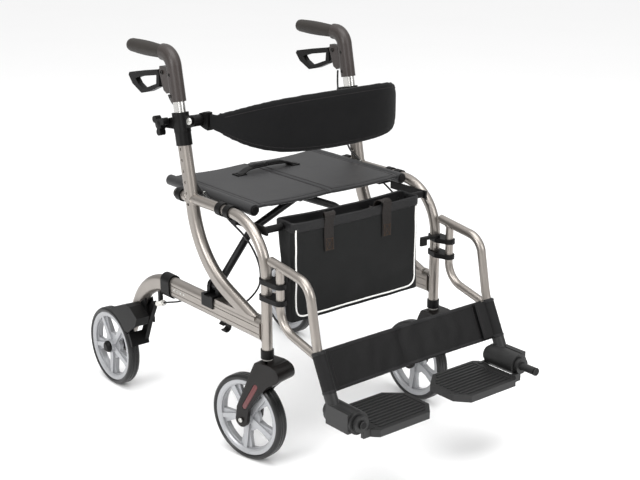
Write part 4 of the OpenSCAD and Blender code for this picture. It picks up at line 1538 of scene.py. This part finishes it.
@dataclass
class BackrestBand:
    """Padded band of the backrest, in a deep bow forward of its two end blocks."""

    half: float = 221.0
    bow: float = 189.0
    tip_y: float = 50.7
    tip_z: float = 733.0
    lift: float = 10.5
    square: float = 0.67
    height: float = 131.0
    end_height: float = 38.5
    taper: float = 2.2
    thick: float = 26.0
    thin: float = 6.0
    shrink: float = 1.6
    swell: float = 2.0
    round_deep: float = 0.7
    round_tall: float = 0.5
    seam_in: float = 13.0
    seam_width: float = 3.5
    seam_depth: float = 1.3
    seam_reach: float = 0.88
    stitch_lift: float = 0.3
    tape_r: float = 2.0
    tape_lift: float = 0.2
    tape_reach: float = 0.95
    ray_start: float = 30.0
    keep: float = 0.45
    parts: int = 96

    def plan(self, share: float) -> Vector:
        """Point on the band's middle line.

        Args:
            share: place along the band, from -1 at its right end to 1 at its left end.

        Returns:
            The point in millimetres.
        """
        turn = math.pi / 2 * share
        x = math.copysign(abs(math.sin(turn)) ** self.square, share) * self.half
        y = self.tip_y - self.bow * max(0.0, math.cos(turn)) ** self.square
        return Vector((x, y, self.tip_z + self.lift * (1.0 - share * share)))

    def inward(self, share: float) -> Vector:
        """Level unit direction across the band, toward the inside of its bow."""
        run = self.plan(min(1.0, share + 0.01)) - self.plan(max(-1.0, share - 0.01))
        return Vector((-run.y, run.x, 0.0)).normalized()

    def spot(self, share: float, rise: float, deep: float) -> Vector:
        """Point in metres that lies this far above the middle line and inside of it."""
        return (self.plan(share) + Vector((0.0, 0.0, rise)) + self.inward(share) * deep) * MM

    def half_height(self, share: float) -> float:
        """Half height of the band in millimetres."""
        return self.height / 2 - (self.height - self.end_height) / 2 * abs(share) ** self.taper

    def half_thick(self, share: float) -> float:
        """Half thickness of the band in millimetres."""
        return self.thick / 2 - self.thin * share * share

    def even_shares(self, reach: float) -> list[float]:
        """Shares at even steps along the bow.

        Args:
            reach: last share on each side.

        Returns:
            Shares from -reach to reach.
        """
        fine = [reach * (2 * i / 1200 - 1) for i in range(1201)]
        spots = [self.plan(f) for f in fine]
        gone = [0.0]
        for before, here in zip(spots, spots[1:]):
            gone.append(gone[-1] + (here - before).length)
        shares, k = [], 0
        for i in range(self.parts + 1):
            want = gone[-1] * i / self.parts
            while gone[k] < want and k < len(fine) - 1:
                k += 1
            shares.append(fine[k])
        return shares

    def build(self) -> None:
        """Makes the pad, its edge tapes and its stitching."""
        pad = self.pad()
        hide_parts("backrest_band")
        trims = [self.edge_tape(pad), self.stitching(pad)]
        for piece in [pad, *trims]:
            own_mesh(piece)

    def pad(self) -> bpy.types.Object:
        """Makes the stuffed band from a tube whose sections follow the bow.

        Returns:
            The pad.
        """
        bm = bmesh.new()
        bmesh.ops.create_cone(bm, cap_ends=True, segments=36, radius1=1.0, radius2=1.0, depth=2.0)
        long_edges = [edge for edge in bm.edges if abs(edge.verts[0].co.z - edge.verts[1].co.z) > 1.0]
        bmesh.ops.subdivide_edges(bm, edges=long_edges, cuts=self.parts - 1)
        shares = self.even_shares(1.0)
        for vert in bm.verts:
            share = shares[round((vert.co.z + 1.0) / 2 * self.parts)]
            turn = math.atan2(vert.co.y, vert.co.x)
            deep = math.copysign(abs(math.cos(turn)) ** self.round_deep, math.cos(turn))
            tall = math.copysign(abs(math.sin(turn)) ** self.round_tall, math.sin(turn))
            vert.co = self.spot(
                share,
                (self.half_height(share) - self.shrink) * tall,
                (self.half_thick(share) - self.shrink) * deep,
            )
        return pad_piece("backrest_pad", bm, BAND_CLOTH, "backrest", self.swell, self.draw_in)

    def draw_in(self, point: Vector) -> Vector:
        """Sinks the cover along a seam inside the upper and lower edges.

        Args:
            point: point of the swollen cover, in metres.

        Returns:
            The point after the seam has drawn it in.
        """
        across = min(1.0, abs(point.x) / MM / self.half)
        share = math.copysign(math.asin(across ** (1.0 / self.square)) / (math.pi / 2), point.x)
        from_edge = self.half_height(share) - abs(point.z / MM - self.plan(share).z)
        seam = math.exp(-(((from_edge - self.seam_in) / self.seam_width) ** 2))
        inside = self.inward(share)
        side = (point - self.plan(share) * MM).dot(inside)
        return point - inside * math.copysign(self.seam_depth * MM * seam, side)

    def edge_tape(self, pad: bpy.types.Object) -> bpy.types.Object:
        """Runs a rolled tape along the band's upper and lower edge.

        Args:
            pad: the finished pad.

        Returns:
            The tape.
        """
        bm = bmesh.new()
        for way in (1.0, -1.0):
            line = [self.spot(f, way * self.height, 0.0) for f in self.even_shares(self.tape_reach)]
            laid = SURFACES.lay(pad.name, line, Vector((0.0, 0.0, -way)), self.tape_lift)
            tube_into(bm, laid, self.tape_r, 8)
        return make_piece("backrest_edge_tape", bm, EDGE_TAPE, "backrest")

    def stitching(self, pad: bpy.types.Object) -> bpy.types.Object:
        """Sews the seam inside the edges on the outer and the inner face.

        Args:
            pad: the finished pad.

        Returns:
            The thread.
        """
        bm = bmesh.new()
        for way in (1.0, -1.0):
            for face in (1.0, -1.0):
                points = []
                for f in self.even_shares(self.seam_reach):
                    rise = way * (self.half_height(f) - self.seam_in)
                    start = self.spot(f, rise, face * self.ray_start)
                    aim = -face * self.inward(f)
                    points += SURFACES.lay(pad.name, [start], aim, self.stitch_lift)
                stitches_into(bm, points)
        return make_piece("backrest_stitches", bm, THREAD, "backrest")


@dataclass
class CalfBand:
    """Half of the calf strap: a flat band looped and sewn around the hanger tube, with bound edges."""

    side: Side
    top: tuple[float, float] = (-171.0, 330.0)
    end: tuple[float, float] = (-226.0, 216.0)
    drop: float = 10.0
    width: float = 84.0
    loop_r: float = 12.8
    thick: float = 3.2
    bow: float = 26.0
    inner_u: float = 247.9
    loop_from: float = -10.0
    loop_turn: float = 260.0
    loop_steps: int = 22
    bow_steps: int = 44
    upright_fold: float = 1.7
    broad_fold: float = 1.1
    ripple: float = 2.4
    sewn_end: tuple[float, float] = (34.0, 9.2)
    sewn_bend: tuple[float, float] = (22.0, 5.0)
    tape_in: float = 1.44
    tape_w: float = 9.0
    tape_t: float = 4.8
    seam_u: tuple[float, float] = (30.0, 36.0)
    stitch_lift: float = 0.35
    ray_start: float = 30.0
    keep: float = 0.15

    def axes(self) -> tuple[Vector, Vector]:
        """Directions along the tube and behind it, in the side plane's metres.

        Returns:
            The unit vector down the tube and the one that points behind it.
        """
        run = (self.end[0] - self.top[0], self.end[1] - self.top[1])
        down = PLAN.aim(self.side, run[0], run[1])
        behind = PLAN.aim(self.side, -run[1], run[0])
        return down, behind

    def route(self, level: float) -> list[Vector]:
        """Middle line of the band at a distance down from its upper edge.

        Args:
            level: distance in millimetres.

        Returns:
            Points from the sewn end, around the tube and on to the chair's middle.
        """
        down, behind = self.axes()
        start = PLAN.at(self.side, self.top[0], self.top[1]) + down * (self.drop + level) * MM
        inward = PLAN.aim(self.side, 0, 0, 1)
        spots = [self.sewn_end, self.sewn_bend]
        for i in range(self.loop_steps + 1):
            turn = math.radians(self.loop_from - self.loop_turn * i / self.loop_steps)
            spots.append((self.loop_r * math.cos(turn), self.loop_r * math.sin(turn)))
        shares = [i / self.bow_steps for i in range(1, self.bow_steps + 1)]
        spots += [(self.inner_u * f, self.loop_r + self.bow * math.sin(math.pi / 2 * f)) for f in shares]
        return [start + (inward * u + behind * n) * MM for u, n in spots]

    def wrinkle(self, x: float, level: float) -> float:
        """Depth of the slack folds, in millimetres, which run on across the chair's middle.

        Args:
            x: distance left of the chair's middle.
            level: distance down from the upper edge.

        Returns:
            How far the cloth stands behind its middle line.
        """
        slack = max(0.0, min(1.0, (PLAN.side_x - 40.0 - abs(x)) / 60.0))
        fade = math.exp(-((x / 75.0) ** 2))
        upright = self.upright_fold * math.sin(x / 10.5 + 1.4 * math.sin(level / 30.0)) * fade
        broad = self.broad_fold * math.sin(x / 31.0 + level / 44.0)
        ripple = self.ripple * noise.noise(Vector((x / 24.0, level / 42.0, 3.0)))
        return slack * (upright + broad + ripple)

    def shaped(self, point: Vector) -> Vector:
        """Moves a point of the flat band by the folds.

        Args:
            point: point of the band, in metres.

        Returns:
            The point on the folded band.
        """
        down, behind = self.axes()
        origin = PLAN.at(self.side, self.top[0], self.top[1])
        level = (point - origin).dot(down) / MM - self.drop
        return point + behind * self.wrinkle(point.x / MM, level) * MM

    def build(self) -> None:
        """Makes the band, its edge tapes and the seam beside the tube."""
        word = self.side.word
        down, behind = self.axes()
        bm = bmesh.new()
        middle = self.route(self.width / 2)
        sweep_into(bm, path_frames(middle, down), flat_section(self.width, self.thick, 16))
        for vert in bm.verts:
            vert.co = self.shaped(vert.co)
        band = make_piece(word + "_calf_strap", bm, STRAP_CLOTH, word + "_hanger")
        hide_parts(word + "_calf_band")
        bm = bmesh.new()
        for level in (self.tape_in, self.width - self.tape_in):
            line = [self.shaped(point) for point in self.route(level)[2:]]
            sweep_into(bm, path_frames(line, down), flat_section(self.tape_w, self.tape_t, 2))
        tape = make_piece(word + "_calf_edge_tape", bm, EDGE_TAPE, word + "_hanger")
        bm = bmesh.new()
        for u in self.seam_u:
            line = [
                PLAN.at(self.side, self.top[0], self.top[1], u)
                + down * (self.drop + level) * MM
                - behind * self.ray_start * MM
                for level in range(8, int(self.width) - 7, 2)
            ]
            stitches_into(bm, SURFACES.lay(band.name, line, behind, self.stitch_lift))
        thread = make_piece(word + "_calf_stitches", bm, THREAD, word + "_hanger")
        for piece in (band, tape, thread):
            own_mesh(piece)


@dataclass
class Bag:
    """Hanging bag: a sagging canvas shell, open on top, with piping, hem, carrying strap and stitching."""

    half: float = 186.0
    front_y: float = -189.5
    rear_y: float = -129.5
    base: float = 24.0
    low_z: float = 321.0
    top_z: float = 545.0
    corner: float = 11.0
    wall: float = 2.6
    cut: float = 11.0
    belly: float = 4.0
    fold: float = 2.2
    drape: float = 1.2
    tuck: float = 7.0
    dip: float = 6.0
    piping_r: float = 1.9
    piping_in: float = 11.0
    piping_low: float = 9.0
    piping_high: float = 14.0
    piping_bend: float = 26.0
    piping_lift: float = 0.6
    hem_h: float = 20.0
    hem_over: float = 3.0
    hem_in: float = 0.9
    hem_t: float = 5.2
    strap_x: tuple[float, float] = (-84.0, 84.0)
    strap_w: float = 27.0
    strap_t: float = 2.2
    strap_lift: float = 2.4
    strap_in: float = 4.0
    strap_bend: float = 8.0
    strap_front_z: tuple[float, ...] = (468.0, 490.0, 512.0, 530.0)
    strap_over: tuple[tuple[float, float, float], ...] = (
        (0.0, -9.0, 548.0),
        (6.0, 0.0, 553.0),
        (10.0, 10.0, 549.0),
        (16.0, 16.0, 530.0),
        (40.0, 17.0, 515.0),
    )
    strap_middle: tuple[float, float] = (18.0, 510.0)
    box_half: float = 9.0
    box_low: float = 471.0
    box_high: float = 496.0
    box_parts: int = 8
    stitch_lift: float = 3.8
    stitch_pitch: float = 3.6
    stitch_l: float = 2.4
    stitch_r: float = 0.45
    keep: float = 0.35

    def sag(self, point: Vector) -> Vector:
        """Moves a point of the neat box to where the hanging cloth lies.

        Args:
            point: point on the box, in metres.

        Returns:
            The moved point.
        """
        x, y, z = point / MM
        across = x / self.half
        level = (z - self.low_z) / (self.top_z - self.low_z)
        middle = 1.0 - across * across
        deep = (2 * y - self.front_y - self.rear_y) / (self.rear_y - self.front_y)
        narrow = self.base + (self.rear_y - self.front_y - self.base) * level
        y = self.front_y + (y - self.front_y) * narrow / (self.rear_y - self.front_y)
        belly = self.belly * math.sin(math.pi * min(1.0, level * 1.15)) * middle
        folds = self.fold * noise.noise(Vector((x / 62.0, z / 40.0, 2.0)))
        drape = self.drape * math.sin(x / 23.0 + 1.8 * math.sin(z / 60.0)) * level**3
        out = (belly + folds + drape) * deep
        uneven = 2.0 * noise.noise(Vector((y / 40, z / 40, 5.0))) - self.tuck * level**2
        gusset = (1.0 - deep * deep) * across * uneven
        dip = -self.dip * middle * level**6
        return Vector((x + gusset, y + out, z + dip)) * MM

    def build(self) -> None:
        """Makes the bag's pieces and hides the imported bag."""
        shell = self.shell()
        trims = [self.piping(), self.hem(), self.strap(), self.stitching()]
        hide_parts("bag")
        for piece in [shell, *trims]:
            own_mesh(piece)

    def shell(self) -> bpy.types.Object:
        """Makes the open shell from a box with rounded corners, cut fine and sagged.

        Returns:
            The shell.
        """
        size = Vector((2 * self.half, self.rear_y - self.front_y, self.top_z - self.low_z))
        middle = Vector((0.0, (self.front_y + self.rear_y) / 2, (self.low_z + self.top_z) / 2))
        bm = bmesh.new()
        bmesh.ops.create_cube(bm, size=1.0)
        bmesh.ops.scale(bm, vec=size * MM, verts=bm.verts)
        bmesh.ops.translate(bm, vec=middle * MM, verts=bm.verts)
        upright = [edge for edge in bm.edges if abs(edge.verts[0].co.z - edge.verts[1].co.z) > 0.1]
        round_edges(bm, upright, self.corner * MM, 5)
        lids = [face for face in bm.faces if face.normal.z > 0.9]
        bmesh.ops.delete(bm, geom=lids, context="FACES")
        self.slice(bm)
        for vert in bm.verts:
            vert.co = self.sag(vert.co)
        bmesh.ops.recalc_face_normals(bm, faces=bm.faces)
        shell = make_piece("bag_shell", bm, BAG_CLOTH, "right_frame")
        wall = shell.modifiers.new("wall", "SOLIDIFY")
        wall.thickness = self.wall * MM
        wall.offset = -1.0
        graph = bpy.context.evaluated_depsgraph_get()
        applied = bpy.data.meshes.new_from_object(shell.evaluated_get(graph))
        shell.modifiers.clear()
        shell.data = applied
        return shell

    def slice(self, bm: bmesh.types.BMesh) -> None:
        """Cuts the box into a fine net along its three axes.

        Args:
            bm: box to cut.
        """
        spans = (
            (0, -self.half, self.half),
            (1, self.front_y, self.rear_y),
            (2, self.low_z, self.top_z),
        )
        for axis, low, high in spans:
            count = round((high - low) / self.cut)
            normal = Vector([1.0 if i == axis else 0.0 for i in range(3)])
            for i in range(1, count):
                place = normal * (low + (high - low) * i / count) * MM
                whole = bm.verts[:] + bm.edges[:] + bm.faces[:]
                bmesh.ops.bisect_plane(bm, geom=whole, plane_co=place, plane_no=normal, dist=1e-6)

    def front(self, x: float, z: float, lift: float = 0.0) -> Vector:
        """Point on the front panel, lifted off it by a few millimetres."""
        return self.sag(Vector((x, self.front_y, z)) * MM) - Vector((0.0, lift * MM, 0.0))

    def piping(self) -> bpy.types.Object:
        """Runs the piping down both sides and along the bottom of the front panel.

        Returns:
            The piping.
        """
        side_x = self.half - self.piping_in
        low, high = self.low_z + self.piping_low, self.top_z - self.piping_high
        corners = ((-side_x, high), (-side_x, low), (side_x, low), (side_x, high))
        flat = [Vector((x, 0.0, z)) for x, z in corners]
        path = rounded([point * MM for point in flat], self.piping_bend, 10)
        dense = []
        for a, b in zip(path, path[1:]):
            dense += along(a, b, max(2, int((b - a).length / 0.008)))[:-1]
        line = [self.front(p.x / MM, p.z / MM, self.piping_lift) for p in dense]
        bm = bmesh.new()
        tube_into(bm, line, self.piping_r, 8)
        return make_piece("bag_piping", bm, PIPING, "right_frame")

    def rim(self, z: float, inset: float = 0.0) -> list[Vector]:
        """Points around the bag's outline at a height, sagged.

        Args:
            z: height in millimetres.
            inset: distance inside the outline.

        Returns:
            The ring of points.
        """
        reach_x, reach_y = self.half - inset, (self.rear_y - self.front_y) / 2 - inset
        mid_y = (self.front_y + self.rear_y) / 2
        corners = [(-1, -1), (1, -1), (1, 1), (-1, 1), (-1, -1)]
        flat = [Vector((sx * reach_x, mid_y + sy * reach_y, z)) * MM for sx, sy in corners]
        start = flat[0].lerp(flat[1], 0.5)
        path = rounded([start, *flat[1:4], flat[0], start], self.corner, 4)[:-1]
        dense = [
            p
            for a, b in zip(path, path[1:] + path[:1])
            for p in along(a, b, max(2, int((b - a).length / 0.012)))[:-1]
        ]
        return [self.sag(p) for p in dense]

    def hem(self) -> bpy.types.Object:
        """Folds a tape over the upper rim.

        Returns:
            The hem.
        """
        bm = bmesh.new()
        line = self.rim(self.top_z - self.hem_h / 2, self.hem_in)
        tape = path_frames(line, Vector((0.0, 0.0, 1.0)), True)
        sweep_into(bm, tape, flat_section(self.hem_h + self.hem_over, self.hem_t, 2), True)
        return make_piece("bag_hem", bm, EDGE_TAPE, "right_frame")

    def strap(self) -> bpy.types.Object:
        """Lays the carrying strap up the front panel, over the rim and across inside.

        Returns:
            The strap.
        """
        low_x, high_x = self.strap_x
        over = self.front_y + self.strap_in
        start = [self.front(low_x, z, self.strap_lift) for z in self.strap_front_z]
        rise = [Vector((low_x + dx, over + dy, z)) * MM for dx, dy, z in self.strap_over]
        middle = Vector((0.0, over + self.strap_middle[0], self.strap_middle[1])) * MM
        fall = [Vector((high_x - dx, over + dy, z)) * MM for dx, dy, z in reversed(self.strap_over)]
        end = [self.front(high_x, z, self.strap_lift) for z in reversed(self.strap_front_z)]
        line = rounded([*start, *rise, middle, *fall, *end], self.strap_bend, 3)
        leads = []
        for place in path_frames(line, None):
            run = place.col[2].to_3d()
            leads.append(Vector((1.0, 0.0, 0.0)) if abs(run.x) < 0.6 else Vector((0.0, 0.0, 1.0)))
        turned = [path_frames(line, lead)[i] for i, lead in enumerate(self.eased(leads))]
        bm = bmesh.new()
        sweep_into(bm, turned, flat_section(self.strap_w, self.strap_t, 4))
        return make_piece("bag_strap", bm, WEBBING, "right_frame")

    def eased(self, leads: Sequence[Vector]) -> list[Vector]:
        """Blends neighbouring directions, so that the strap twists smoothly.

        Args:
            leads: directions across the strap, one for each point of its path.

        Returns:
            The blended directions.
        """
        count = len(leads)
        blended = []
        for i in range(count):
            near = [leads[max(0, min(count - 1, i + k))] for k in range(-4, 5)]
            blended.append(sum(near, Vector()).normalized())
        return blended

    def stitching(self) -> bpy.types.Object:
        """Sews the two boxes that hold the strap.

        Returns:
            The thread.
        """
        bm = bmesh.new()
        half, low, high = self.box_half, self.box_low, self.box_high
        box = [(-half, low), (half, low), (half, high), (-half, high)]
        box += [(-half, low), (half, high), (half, low), (-half, high)]
        for x in self.strap_x:
            for (x0, z0), (x1, z1) in zip(box, box[1:]):
                run = []
                for i in range(self.box_parts + 1):
                    across = x + x0 + (x1 - x0) * i / self.box_parts
                    up = z0 + (z1 - z0) * i / self.box_parts
                    run.append(self.front(across, up, self.stitch_lift))
                stitches_into(bm, run, self.stitch_pitch, self.stitch_l, self.stitch_r)
        return make_piece("bag_stitches", bm, TAN_THREAD, "right_frame")


@dataclass
class CasterTrim:
    """One caster's fork with its moulded edges, red inlays, white thrust washer and axle bolt."""

    side: Side
    fork_half: float = 27.5
    crown_edge: float = 9.0
    soft_edge: float = 6.0
    inlay_mid: tuple[float, float] = (29.0, 162.0)
    inlay_turn: float = -59.0
    inlay_l: float = 76.4
    inlay_w: float = 11.6
    inlay_t: float = 1.2
    inlay_edge: float = 0.5
    inlay_gap: float = 0.05
    floor_u: float = 26.0
    washer_z: float = 250.0
    axle: tuple[float, float] = (55.0, 100.0)
    axle_u: float = 30.5
    bolt_r: float = 5.4
    bolt_h: float = 2.6

    def build(self) -> None:
        """Makes the fork and the trim of this caster."""
        word = self.side.word
        self.fork()
        bm = bmesh.new()
        for face in (-1.0, 1.0):
            self.inlay_into(bm, face)
        make_piece(word + "_fork_inlays", bm, INLAY_RED, word + "_caster")
        bm = bmesh.new()
        ring = [(6.4, 0.1), (11.6, 0.1), (12.0, 0.7), (12.0, 2.9), (11.4, 3.5), (6.4, 3.5)]
        lathe_into(bm, ring, PLAN.at(self.side, 0, self.washer_z), Vector((0.0, 0.0, 1.0)), 36)
        make_piece(word + "_thrust_washer", bm, WHITE_ACETAL, word + "_caster")
        bm = bmesh.new()
        for face in (-1.0, 1.0):
            spot = PLAN.caster(self.side, *self.axle, face * self.axle_u)
            away = spot - PLAN.caster(self.side, *self.axle, 0)
            screw_into(bm, spot, away.normalized(), self.bolt_r, self.bolt_h)
        make_piece(word + "_caster_bolts", bm, ZINC, word + "_caster")

    def crosses(self, edge: bmesh.types.BMEdge) -> bool:
        """Tells whether an edge runs across the whole crown."""
        first, last = (PLAN.on_caster(self.side, vert.co) for vert in edge.verts)
        return edge.is_convex and abs(first.z - last.z) > 2 * self.fork_half - 0.5

    def outlines(self, edge: bmesh.types.BMEdge) -> bool:
        """Tells whether an edge lies on the outline of a fork arm and not around an inlay.

        Args:
            edge: edge of the merged fork.

        Returns:
            True for an edge that the mould rounds off.
        """
        if edge.calc_face_angle(0.0) < math.radians(40) or not edge.is_convex:
            return False
        first, last = (PLAN.on_caster(self.side, vert.co) for vert in edge.verts)
        if max(abs(abs(first.z) - self.fork_half), abs(abs(last.z) - self.fork_half)) > 0.2:
            return False
        lean = math.radians(self.inlay_turn)
        middle = (first + last) / 2
        away = Vector((middle.x - self.inlay_mid[0], middle.y - self.inlay_mid[1]))
        beside = abs(away.y * math.cos(lean) - away.x * math.sin(lean))
        return beside > self.inlay_w or (first - last).length > self.inlay_l

    def fork(self) -> None:
        """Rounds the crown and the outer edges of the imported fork, as its mould does."""
        word = self.side.word
        bm = merged_copy(word + "_caster_fork")
        for test, offset in ((self.crosses, self.crown_edge), (self.outlines, self.soft_edge)):
            round_edges(bm, [edge for edge in bm.edges if test(edge)], offset * MM, 5, True)
        fork = make_piece(word + "_fork_shell", bm, FORK_ABS, word + "_caster")
        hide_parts(word + "_caster_fork")

    def inlay_into(self, bm: bmesh.types.BMesh, face: float) -> None:
        """Adds the long oval inlay of one fork face.

        Args:
            bm: bmesh that takes it.
            face: -1 for the outer and 1 for the inner face of the fork.
        """
        part = bmesh.new()
        turn = Matrix.Rotation(math.pi / 32, 4, "Z")
        bmesh.ops.create_circle(part, cap_ends=True, segments=32, radius=self.inlay_w / 2, matrix=turn)
        stretch = (self.inlay_l - self.inlay_w) / 2
        for vert in part.verts:
            vert.co.x += math.copysign(stretch, vert.co.x)
        grown = bmesh.ops.extrude_face_region(part, geom=part.faces[:])["geom"]
        high = [item for item in grown if isinstance(item, bmesh.types.BMVert)]
        bmesh.ops.translate(part, vec=(0.0, 0.0, self.inlay_t), verts=high)
        tops = [edge for edge in part.edges if all(vert in set(high) for vert in edge.verts)]
        round_edges(part, tops, self.inlay_edge)
        lean = math.radians(self.inlay_turn)
        for vert in part.verts:
            x, y, z = vert.co
            v = self.inlay_mid[0] + x * math.cos(lean) - y * math.sin(lean)
            up = self.inlay_mid[1] + x * math.sin(lean) + y * math.cos(lean)
            vert.co = PLAN.caster(self.side, v, up, face * (self.floor_u + self.inlay_gap + z))
        bmesh.ops.recalc_face_normals(part, faces=part.faces)
        join_into(bm, part)


@dataclass
class HandleTrim:
    """Trim of one handle: housing screws, the lever's pivot, the backrest bolt and the knob's cap."""

    side: Side
    screws: tuple[tuple[float, float], ...] = ((346.0, 833.0), (331.0, 826.0), (327.0, 779.0))
    lever_pivot: tuple[float, float] = (372.0, 826.0)
    back_pivot: tuple[float, float] = (260.0, 733.0)
    knob_pivot: tuple[float, float] = (360.0, 712.0)
    screw_r: float = 4.0
    screw_h: float = 1.3
    pin_u: float = 9.8
    pin_r: float = 5.0
    pin_h: float = 2.0
    bolt_u: float = -11.9
    bolt_r: float = 8.4
    bolt_h: float = 4.4
    knob_face_u: float = -31.0
    ray_u: float = 60.0

    def build(self) -> None:
        """Makes the trim of this handle."""
        side, word = self.side, self.side.word
        bm = bmesh.new()
        for v, z in self.screws:
            for face in (-1.0, 1.0):
                start = PLAN.at(side, v, z, self.ray_u * face)
                found = SURFACES.hit(word + "_housing", start, PLAN.aim(side, 0, 0, -face))
                if found:
                    screw_into(bm, found[0], found[1], self.screw_r, self.screw_h)
        make_piece(word + "_housing_screws", bm, DARK_SCREW, word + "_handle")
        bm = bmesh.new()
        for face in (-1.0, 1.0):
            spot = PLAN.at(side, *self.lever_pivot, self.pin_u * face)
            screw_into(bm, spot, PLAN.aim(side, 0, 0, face), self.pin_r, self.pin_h)
        make_piece(word + "_lever_pin_heads", bm, DARK_SCREW, word + "_lever")
        bm = bmesh.new()
        outward = PLAN.aim(side, 0, 0, -1)
        spot = PLAN.at(side, *self.back_pivot, self.bolt_u)
        screw_into(bm, spot, outward, self.bolt_r, self.bolt_h)
        carrier = "backrest" if side is Side.RIGHT else "backrest_end"
        make_piece(word + "_backrest_bolt", bm, ZINC, carrier)
        bm = bmesh.new()
        cap = [(0.0, 1.6), (6.0, 1.4), (8.6, 0.4), (9.0, -0.5), (0.0, -0.5)]
        lathe_into(bm, cap, PLAN.at(side, *self.knob_pivot, self.knob_face_u), outward)
        make_piece(word + "_knob_cap", bm, FITTING_NYLON, word + "_knob")


@dataclass
class BrakeTrim:
    """Trim of one brake: the white cable adjuster, the rivets of the rail and eyes for the cable."""

    side: Side
    barrel: tuple[tuple[float, float], tuple[float, float]] = ((414.0, 261.2), (444.0, 250.0))
    barrel_r: float = 6.8
    ridge_r: float = 7.4
    ridge_pitch: float = 4.0
    rivets: tuple[float, ...] = (306.0, 320.0, 334.0, 348.0)
    rivet_z: float = 315.0
    rivet_r: float = 3.0
    rivet_h: float = 0.9
    eyes: tuple[tuple[float, float], ...] = ((250.0, 567.0), (190.0, 540.6))
    eye_u: float = 16.2
    eye_r: float = 3.7
    eye_wire: float = 0.9
    ray_u: float = 40.0

    def build(self) -> None:
        """Makes the trim of this brake."""
        side, word = self.side, self.side.word
        (v0, z0), (v1, z1) = self.barrel
        start, run = PLAN.at(side, v0, z0), PLAN.aim(side, v1 - v0, z1 - z0)
        low, high = self.barrel_r, self.ridge_r
        profile = [(2.5, -1.0), (4.6, -0.8), (low, 0.6), (low, 5.0)]
        for i in range(4):
            foot = 6.0 + self.ridge_pitch * i
            profile += [(low, foot), (high, foot + 0.6), (high, foot + 2.6), (low, foot + 3.2)]
        profile += [(low, 31.0), (5.4, 32.6), (2.5, 32.8)]
        bm = bmesh.new()
        lathe_into(bm, profile, start, run)
        make_piece(word + "_cable_adjuster", bm, WHITE_ACETAL, word + "_frame")
        bm = bmesh.new()
        for v in self.rivets:
            for face in (-1.0, 1.0):
                origin = PLAN.at(side, v, self.rivet_z, self.ray_u * face)
                found = SURFACES.hit(word + "_lower_rail", origin, PLAN.aim(side, 0, 0, -face))
                if found:
                    screw_into(bm, found[0], found[1], self.rivet_r, self.rivet_h)
        make_piece(word + "_rail_rivets", bm, ZINC, word + "_frame")
        bm = bmesh.new()
        for v, z in self.eyes:
            middle = PLAN.at(side, v, z, self.eye_u)
            ring = [
                middle
                + PLAN.aim(side, 0, 1) * math.cos(a) * self.eye_r * MM
                + PLAN.aim(side, 0, 0, 1) * math.sin(a) * self.eye_r * MM
                for a in (math.tau * i / 16 for i in range(16))
            ]
            tube_into(bm, ring, self.eye_wire, 6, True)
        make_piece(word + "_cable_eyes", bm, ZINC, word + "_frame")


@dataclass
class FootTrim:
    """Trim of one footrest: grip ribs on the plate and the cap of the hinge pin."""

    side: Side
    floor_z: float = 184.5
    rib_v0: float = -299.0
    rib_step: float = 11.4
    rib_count: int = 10
    rib_w: float = 4.4
    rib_h: float = 2.6
    rib_sink: float = 0.4
    outer_u: float = 58.0
    inner_u: float = 198.0
    rear_cut: tuple[float, float] = (-218.0, -188.0)
    rear_cut_u: float = 33.0
    rear_end_u: float = 166.0
    front_cut: tuple[float, float] = (-283.0, -308.0)
    front_cut_u: float = 21.0
    front_end_u: float = 178.0
    pin: tuple[float, float, float] = (-301.0, 203.0, 12.0)
    long_pin: float = 42.0
    short_pin: float = 5.0

    def rib_end(self, v: float) -> float:
        """Inner end of a rib, kept inside the plate's cut corners.

        Args:
            v: place of the rib.

        Returns:
            Its end, in millimetres inward.
        """
        start, end = self.rear_cut
        if v > start:
            return self.rear_end_u + (v - end) / (start - end) * self.rear_cut_u
        start, end = self.front_cut
        if v < start:
            return self.front_end_u + (v - end) / (start - end) * self.front_cut_u
        return self.inner_u

    def build(self) -> None:
        """Makes the ribs and the pin cap."""
        side, word = self.side, self.side.word
        bm = bmesh.new()
        for i in range(self.rib_count):
            v = self.rib_v0 + self.rib_step * i
            end = self.rib_end(v)
            rib_z = self.floor_z + self.rib_h / 2 - self.rib_sink
            middle = PLAN.at(side, v, rib_z, (self.outer_u + end) / 2)
            bar_into(bm, (end - self.outer_u, self.rib_w, self.rib_h), Matrix.Translation(middle), 1.0)
        make_piece(word + "_plate_ribs", bm, PLATE_PP, word + "_plate")
        bm = bmesh.new()
        v, z, u = self.pin
        out = self.long_pin if side is Side.LEFT else self.short_pin
        cap = [(0.0, 0.3), (7.0, 0.3), (9.4, -1.6), (9.4, -4.2), (9.0, -4.2), (0.0, -4.2)]
        lathe_into(bm, cap, PLAN.at(side, v - out, z, u), Vector((0.0, -1.0, 0.0)), 24)
        make_piece(word + "_hinge_pin_cap", bm, FITTING_NYLON, word + "_hanger")


def main() -> None:
    """Builds the studio and dresses the chair, class by class."""
    logging.basicConfig(level=logging.INFO, format="%(name)s: %(message)s")
    Studio().build()
    FrameDress().dress()
    for side in Side:
        SeatHalf(side).build()
        CalfBand(side).build()
        CasterTrim(side).build()
        HandleTrim(side).build()
        BrakeTrim(side).build()
        FootTrim(side).build()
        WeldBeads(side).build()
    BackrestBand().build()
    Bag().build()


if __name__ == "__main__":
    main()
